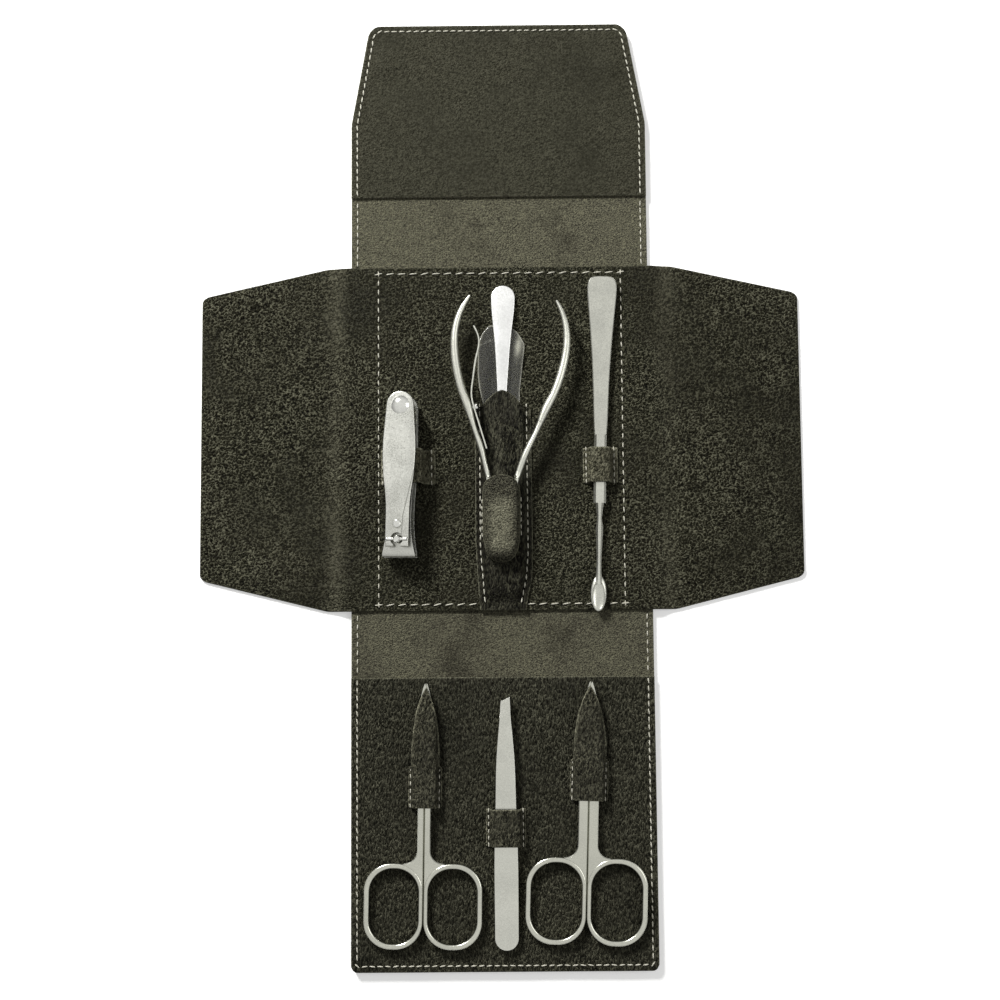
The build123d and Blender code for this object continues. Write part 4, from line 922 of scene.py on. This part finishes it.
# The sleeve: a flattened clear tube, with two uneven lobes that stand out of the pocket.
SLEEVE_LEFT = [(-15.0, -6.2), (29.2, -6.25), (35.4, -7.65), (40.9, -8.1), (46.8, -8.0), (51.1, -7.9), (55.0, -6.4),
        (57.0, -4.8), (58.0, -3.6)]
SLEEVE_RIGHT = [(-15.0, 6.9), (33.5, 7.0), (37.2, 7.4), (43.6, 8.1), (48.2, 8.7), (50.7, 8.9), (52.8, 7.9),
        (55.4, 6.3), (57.3, 4.0), (58.0, 1.5)]


def sleeve_low(x, y):
    """Flat under the file, and curled up a little at the lobes."""
    out = smooth((y - 34.0) / 8.0)
    right = smooth((x - 4.6) / 4.0) * math.exp(-((y - 48.0) / 6.0) ** 2)
    left = smooth((-x - 4.0) / 4.0) * math.exp(-((y - 50.0) / 7.0) ** 2)
    return PANEL_TOP + 0.06 + out * (1.1 * right + 0.6 * left + 0.08 * abs(swell(x, y, 3.0, 4.4)))


def sleeve_haze_and_highlight(x, y, distance):
    """Milky at the cut edge and along a crease on the left lobe, with a painted highlight where the right lobe is
    bent.
    """
    crease = max(0.0, 1.0 - abs(y - 54.0 - 0.45 * x) / 0.4) if x < -2 else 0.0
    # Painted highlight: a milky spot on the right lobe's bend stands in for a reflection of the lamp.
    bent = math.exp(-((x - 6.4 - 0.12 * (y - 49)) / 0.9) ** 2 - ((y - 50.0) / 3.2) ** 2)
    return 0.25 * max(0.0, 1.0 - distance / 0.45) + 0.3 * crease + 0.75 * bent


sleeve = thick_sheet("file_sleeve_film", (-15.0, 58.0), lambda y: (along(SLEEVE_LEFT, y), along(SLEEVE_RIGHT, y)),
        sleeve_low, 0.2, VINYL, 0.8, rub=sleeve_haze_and_highlight, crease=80)
finish_soft(sleeve, "file_sleeve")


# ---- seams ----
def seam_group():
    """A node tree that lays stitches along the edges of a mesh."""
    tree = bpy.data.node_groups.new("seam", "GeometryNodeTree")
    face = tree.interface
    face.new_socket("Geometry", in_out="INPUT", socket_type="NodeSocketGeometry")
    for label, value in (("Pitch", 0.0027), ("Length", 0.0021), ("Width", 0.00055), ("Slant", 0.1)):
        socket = face.new_socket(label, in_out="INPUT", socket_type="NodeSocketFloat")
        socket.default_value = value
    face.new_socket("Thread", in_out="INPUT", socket_type="NodeSocketMaterial")
    face.new_socket("Geometry", in_out="OUTPUT", socket_type="NodeSocketGeometry")
    given = add(tree, "NodeGroupInput").outputs
    curve = add(tree, "GeometryNodeMeshToCurve", links={0: given["Geometry"]})
    even = add(tree, "GeometryNodeResampleCurve", {"mode": "LENGTH"}, links={"Curve": curve,
            "Length": given["Pitch"]})
    tangent = add(tree, "GeometryNodeInputTangent")
    facing = add(tree, "FunctionNodeAlignRotationToVector", {"axis": "X"}, links={"Vector": tangent})
    jitter = add(tree, "FunctionNodeRandomValue", {"data_type": "FLOAT"}, {2: -0.10, 3: 0.10, "Seed": 7})
    slant = add(tree, "ShaderNodeMath", {"operation": "ADD"}, links={0: given["Slant"], 1: jitter.outputs[1]})
    turn = add(tree, "ShaderNodeCombineXYZ", links={2: slant})
    euler = add(tree, "FunctionNodeEulerToRotation", links={0: turn})
    turned = add(tree, "FunctionNodeRotateRotation", {"rotation_space": "LOCAL"}, links={0: facing,
            1: euler})
    bead = add(tree, "GeometryNodeMeshUVSphere", inputs={"Segments": 8, "Rings": 6, "Radius": 0.5})
    size = add(tree, "ShaderNodeCombineXYZ", links={0: given["Length"], 1: given["Width"], 2: given["Width"]})
    shaped = add(tree, "GeometryNodeTransform", links={"Geometry": bead.outputs["Mesh"], "Scale": size})
    smooth = add(tree, "GeometryNodeSetShadeSmooth", links={"Geometry": shaped})
    laid = add(tree, "GeometryNodeInstanceOnPoints", links={"Points": even,
            "Instance": smooth, "Rotation": turned})
    real = add(tree, "GeometryNodeRealizeInstances", links={0: laid})
    dyed = add(tree, "GeometryNodeSetMaterial", links={0: real, "Material": given["Thread"]})
    add(tree, "NodeGroupOutput", links={0: dyed})
    return tree


SEAM = seam_group()


def seam(name, lines, body, pitch, length, width, slant):
    """Stitches along lines of points in millimetres, as one plain mesh that moves with a body."""
    vertices, edges = [], []
    for line in lines:
        first = len(vertices)
        vertices += [(x * MM, y * MM, z * MM) for x, y, z in line]
        edges += [(i, i + 1) for i in range(first, len(vertices) - 1)]
    mesh = bpy.data.meshes.new(name + "_path")
    mesh.from_pydata(vertices, edges, [])
    path = new_object(name + "_path", mesh)
    modifier = path.modifiers.new("seam", "NODES")
    modifier.node_group = SEAM
    values = {"Pitch": pitch * MM, "Length": length * MM, "Width": width * MM, "Slant": slant, "Thread": THREAD}
    for item in SEAM.interface.items_tree:
        if item.in_out == "INPUT" and item.name in values:
            modifier[item.identifier] = values[item.name]
    bpy.context.view_layer.update()
    made = bpy.data.meshes.new_from_object(path.evaluated_get(bpy.context.evaluated_depsgraph_get()))
    bpy.data.objects.remove(path)
    made.name = name
    piece = new_object(name, made)
    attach(piece, body)


def inset_line(outline, distance):
    """An outline moved inwards."""
    out = []
    count = len(outline)
    for i in range(count):
        a, b, c = Vector(outline[i - 1]), Vector(outline[i]), Vector(outline[(i + 1) % count])
        one = (b - a).normalized() if (b - a).length > 1e-6 else (c - b).normalized()
        two = (c - b).normalized() if (c - b).length > 1e-6 else one
        normal = Vector((one.y + two.y, -one.x - two.x)).normalized()
        scale = 1 / max(normal.dot(Vector((one.y, -one.x))), 0.3)
        out.append(tuple(b + normal * distance * scale))
    return out


# Seams stop this far from a fold, so that the stitches of two panels don't meet when the case shuts.
SEAM_STOP = 2.2
SEAM_X = HALF_WIDTH - SEAM_IN
# Stitches: pitch, length and width in millimetres, and slant in radians.
EDGE_STITCHES, STRAP_STITCHES = (2.7, 2.2, 0.55, 0.12), (2.3, 1.75, 0.5, 0.05)
# Heights of the stitches' middles. The bottom panel's lie deeper, so that the tweezers slide over them.
LINING_STITCH, FACING_STITCH, BOTTOM_STITCH = 1.62, 2.62, 2.55
FLANGE_STITCH, LOOP_STITCH, SHEATH_STITCH = 3.52, 3.48, 6.55


def uprights(xs, low, high, z):
    """Straight seam lines along Y, one at each x."""
    return [[(x, low, z), (x, high, z)] for x in xs]


lid_seam = [(x, y, FACING_STITCH) for x, y in inset_line(LID_LINE, SEAM_IN) if y > Y_LID_FOLD + 3.0]
lid_seam = ([(-SEAM_X, Y_LID_FOLD + SEAM_STOP, FACING_STITCH)] + lid_seam
        + [(SEAM_X, Y_LID_FOLD + SEAM_STOP, FACING_STITCH)])
seam("lid_seam", [lid_seam], "lid", *EDGE_STITCHES)
bottom_seam = [(x, y, BOTTOM_STITCH) for x, y in inset_line(BOTTOM_LINE, SEAM_IN) if y < Y_PANEL_FOLD - 3.0]
left_part = [p for p in bottom_seam if p[0] < 0]
right_part = [p for p in bottom_seam if p[0] > 0]
bottom_seam = ([(SEAM_X, Y_PANEL_FOLD - SEAM_STOP, BOTTOM_STITCH)] + right_part + left_part
        + [(-SEAM_X, Y_PANEL_FOLD - SEAM_STOP, BOTTOM_STITCH)])
seam("bottom_seam", [bottom_seam], "bottom_panel", *EDGE_STITCHES)
for label, low, high in (("top_spine", Y_TOP_FOLD + 1.2, Y_LID_FOLD - SEAM_STOP),
        ("bottom_spine", Y_PANEL_FOLD + SEAM_STOP, Y_BOTTOM_FOLD - 1.2)):
    seam(f"{label}_seam", uprights((-SEAM_X, SEAM_X), low, high, LINING_STITCH), label, 2.7, 2.1, 0.5, 0.0)
box_line = [(side_x, y, FACING_STITCH) for side_x, y in (
    (-BOX_SEAM_X, BOX_SEAM_LOW), (-BOX_SEAM_X, BOX_SEAM_TOP), (BOX_SEAM_X, BOX_SEAM_TOP),
    (BOX_SEAM_X, BOX_SEAM_LOW), (-BOX_SEAM_X, BOX_SEAM_LOW))]
seam("tool_panel_rows", [box_line[1:3], box_line[3:5][::-1]], "case_back", 4.1, 3.1, 0.5, 0.16)
seam("tool_panel_sides", [box_line[:2], box_line[2:4]], "case_back", 3.3, 2.1, 0.5, 0.05)


def turned(place, points):
    """Points of a piece's own frame, in the case's frame."""
    c, s = math.cos(math.radians(place[2])), math.sin(math.radians(place[2]))
    return [(place[0] + x * c - y * s, place[1] + x * s + y * c, z) for x, y, z in points]


seam("strap_seams", uprights((-24.9, -42.3), 0.9, 12.1, FLANGE_STITCH)
     + uprights((30.55, 40.5), 1.0, 12.6, FLANGE_STITCH), "case_back", *STRAP_STITCHES)
seam("tweezers_strap_seams", uprights((-5.35, 6.75), -126.7, -114.8, FLANGE_STITCH), "bottom_panel",
     *STRAP_STITCHES)
pocket_lines = [[(x, y, FLANGE_STITCH) for y, x in line] for line in (POCKET_SEAM_LEFT[1:], POCKET_SEAM_RIGHT[1:])]
seam("pocket_seams", pocket_lines, "case_back", 2.75, 2.15, 0.5, 0.05)
seam("sheath_seams", uprights([-6.85], -18.2, -6.2, SHEATH_STITCH) + uprights([7.0], -17.6, -5.6, SHEATH_STITCH),
     "case_back", 2.3, 1.7, 0.45, 0.05)
for label, place, room in (("left", LEFT_SCISSORS, LEFT_ROOM), ("right", RIGHT_SCISSORS, RIGHT_ROOM)):
    x = room + LOOP_SEAM_OUT
    lines = [turned(place, line) for line in uprights((-x, x), -6.4, 6.4, LOOP_STITCH)]
    seam(f"{label}_scissors_seams", lines, "bottom_panel", 2.3, 1.75, 0.48, 0.05)


# ---- floor, light and camera ----
def white_floor():
    """A matt white table that shows pure white to the camera and keeps the shadow."""
    material, tree = new_material("matt_white_table")
    path = add(tree, "ShaderNodeLightPath").outputs
    seen = math_node(tree, "MAXIMUM", path["Is Camera Ray"], path["Is Glossy Ray"])
    seen = math_node(tree, "MAXIMUM", seen, path["Is Transmission Ray"])
    place = add(tree, "ShaderNodeTexCoord").outputs["Object"]
    away = add(tree, "ShaderNodeVectorMath", {"operation": "LENGTH"}, links={0: place}).outputs["Value"]
    # The lamps fade out over the table, so its far parts get more of the white.
    extra = math_node(tree, "MULTIPLY", seen, spread(tree, away, 0.30, 1.3, 0.42, 0.95))
    shader = add(tree, "ShaderNodeBsdfPrincipled", inputs={"Base Color": colour("#f4f4f2"), "Roughness": 1.0,
            "Specular IOR Level": 0.0, "Emission Color": colour("#ffffff")},
            links={"Emission Strength": extra})
    return shown(material, shader)


# In metres. The table lies a little below the case, so that the two don't share a plane.
TABLE_HALF, TABLE_DROP = 3.0, 0.0002
floor_mesh = bpy.data.meshes.new("table_top")
corners = [(x * TABLE_HALF, y * TABLE_HALF, 0) for x, y in ((-1, -1), (1, -1), (1, 1), (-1, 1))]
floor_mesh.from_pydata(corners, [], [(0, 1, 2, 3)])
floor_mesh.materials.append(white_floor())
floor = new_object("table_top", floor_mesh)
floor.location.z = -TABLE_DROP

world = bpy.data.worlds.new("studio")
bpy.context.scene.world = world
world.use_nodes = True
sky = world.node_tree
sky.nodes.clear()
rays = add(sky, "ShaderNodeLightPath").outputs
mirror_rays = math_node(sky, "MAXIMUM", rays["Is Camera Ray"], rays["Is Transmission Ray"])
mirror_rays = math_node(sky, "MAXIMUM", mirror_rays, rays["Is Glossy Ray"])
level = add(sky, "ShaderNodeMapRange", inputs={"To Min": 0.18, "To Max": 1.0}, links={0: mirror_rays})
# Polished and curved steel mirrors a white ceiling and a room that is darker towards the horizon.
direction = add(sky, "ShaderNodeTexCoord").outputs["Generated"]
rise = add(sky, "ShaderNodeSeparateXYZ", links={0: direction}).outputs["Z"]
dimmed = math_node(sky, "MULTIPLY", rays["Is Glossy Ray"], spread(sky, rise, 0.0, 0.8, 0.55, 0.0))
strength = math_node(sky, "SUBTRACT", level, dimmed)
background = add(sky, "ShaderNodeBackground", inputs={"Color": colour("#ffffff")}, links={"Strength": strength})
add(sky, "ShaderNodeOutputWorld", links={0: background})


def softbox(name, place, size, power):
    """A large soft lamp that points at the middle of the case."""
    lamp = bpy.data.lights.new(name, "AREA")
    lamp.shape = "RECTANGLE"
    lamp.size, lamp.size_y = size
    lamp.energy = power
    piece = new_object(name, lamp)
    piece.location = place
    piece.rotation_euler = (-Vector(place)).to_track_quat("-Z", "Y").to_euler()


softbox("key_softbox", (-0.5, 0.75, 0.62), (0.22, 0.22), 17.0)
softbox("fill_softbox", (0.8, 0.1, 0.7), (0.5, 0.5), 2.0)

camera_data = bpy.data.cameras.new("camera")
camera_data.lens = 52.0
camera_data.sensor_width = 36.0
camera = new_object("camera", camera_data)
right = (0.99995, -0.00833, -0.00545)
up = (0.00878, 0.99611, 0.08766)
back = (0.00470, -0.08770, 0.99614)
eye = (1.98 * MM, -50.79 * MM, 517.99 * MM)
camera.matrix_world = Matrix([*zip(right, up, back, eye), (0, 0, 0, 1)])
bpy.context.scene.camera = camera
bpy.context.scene.view_settings.view_transform = "Standard"
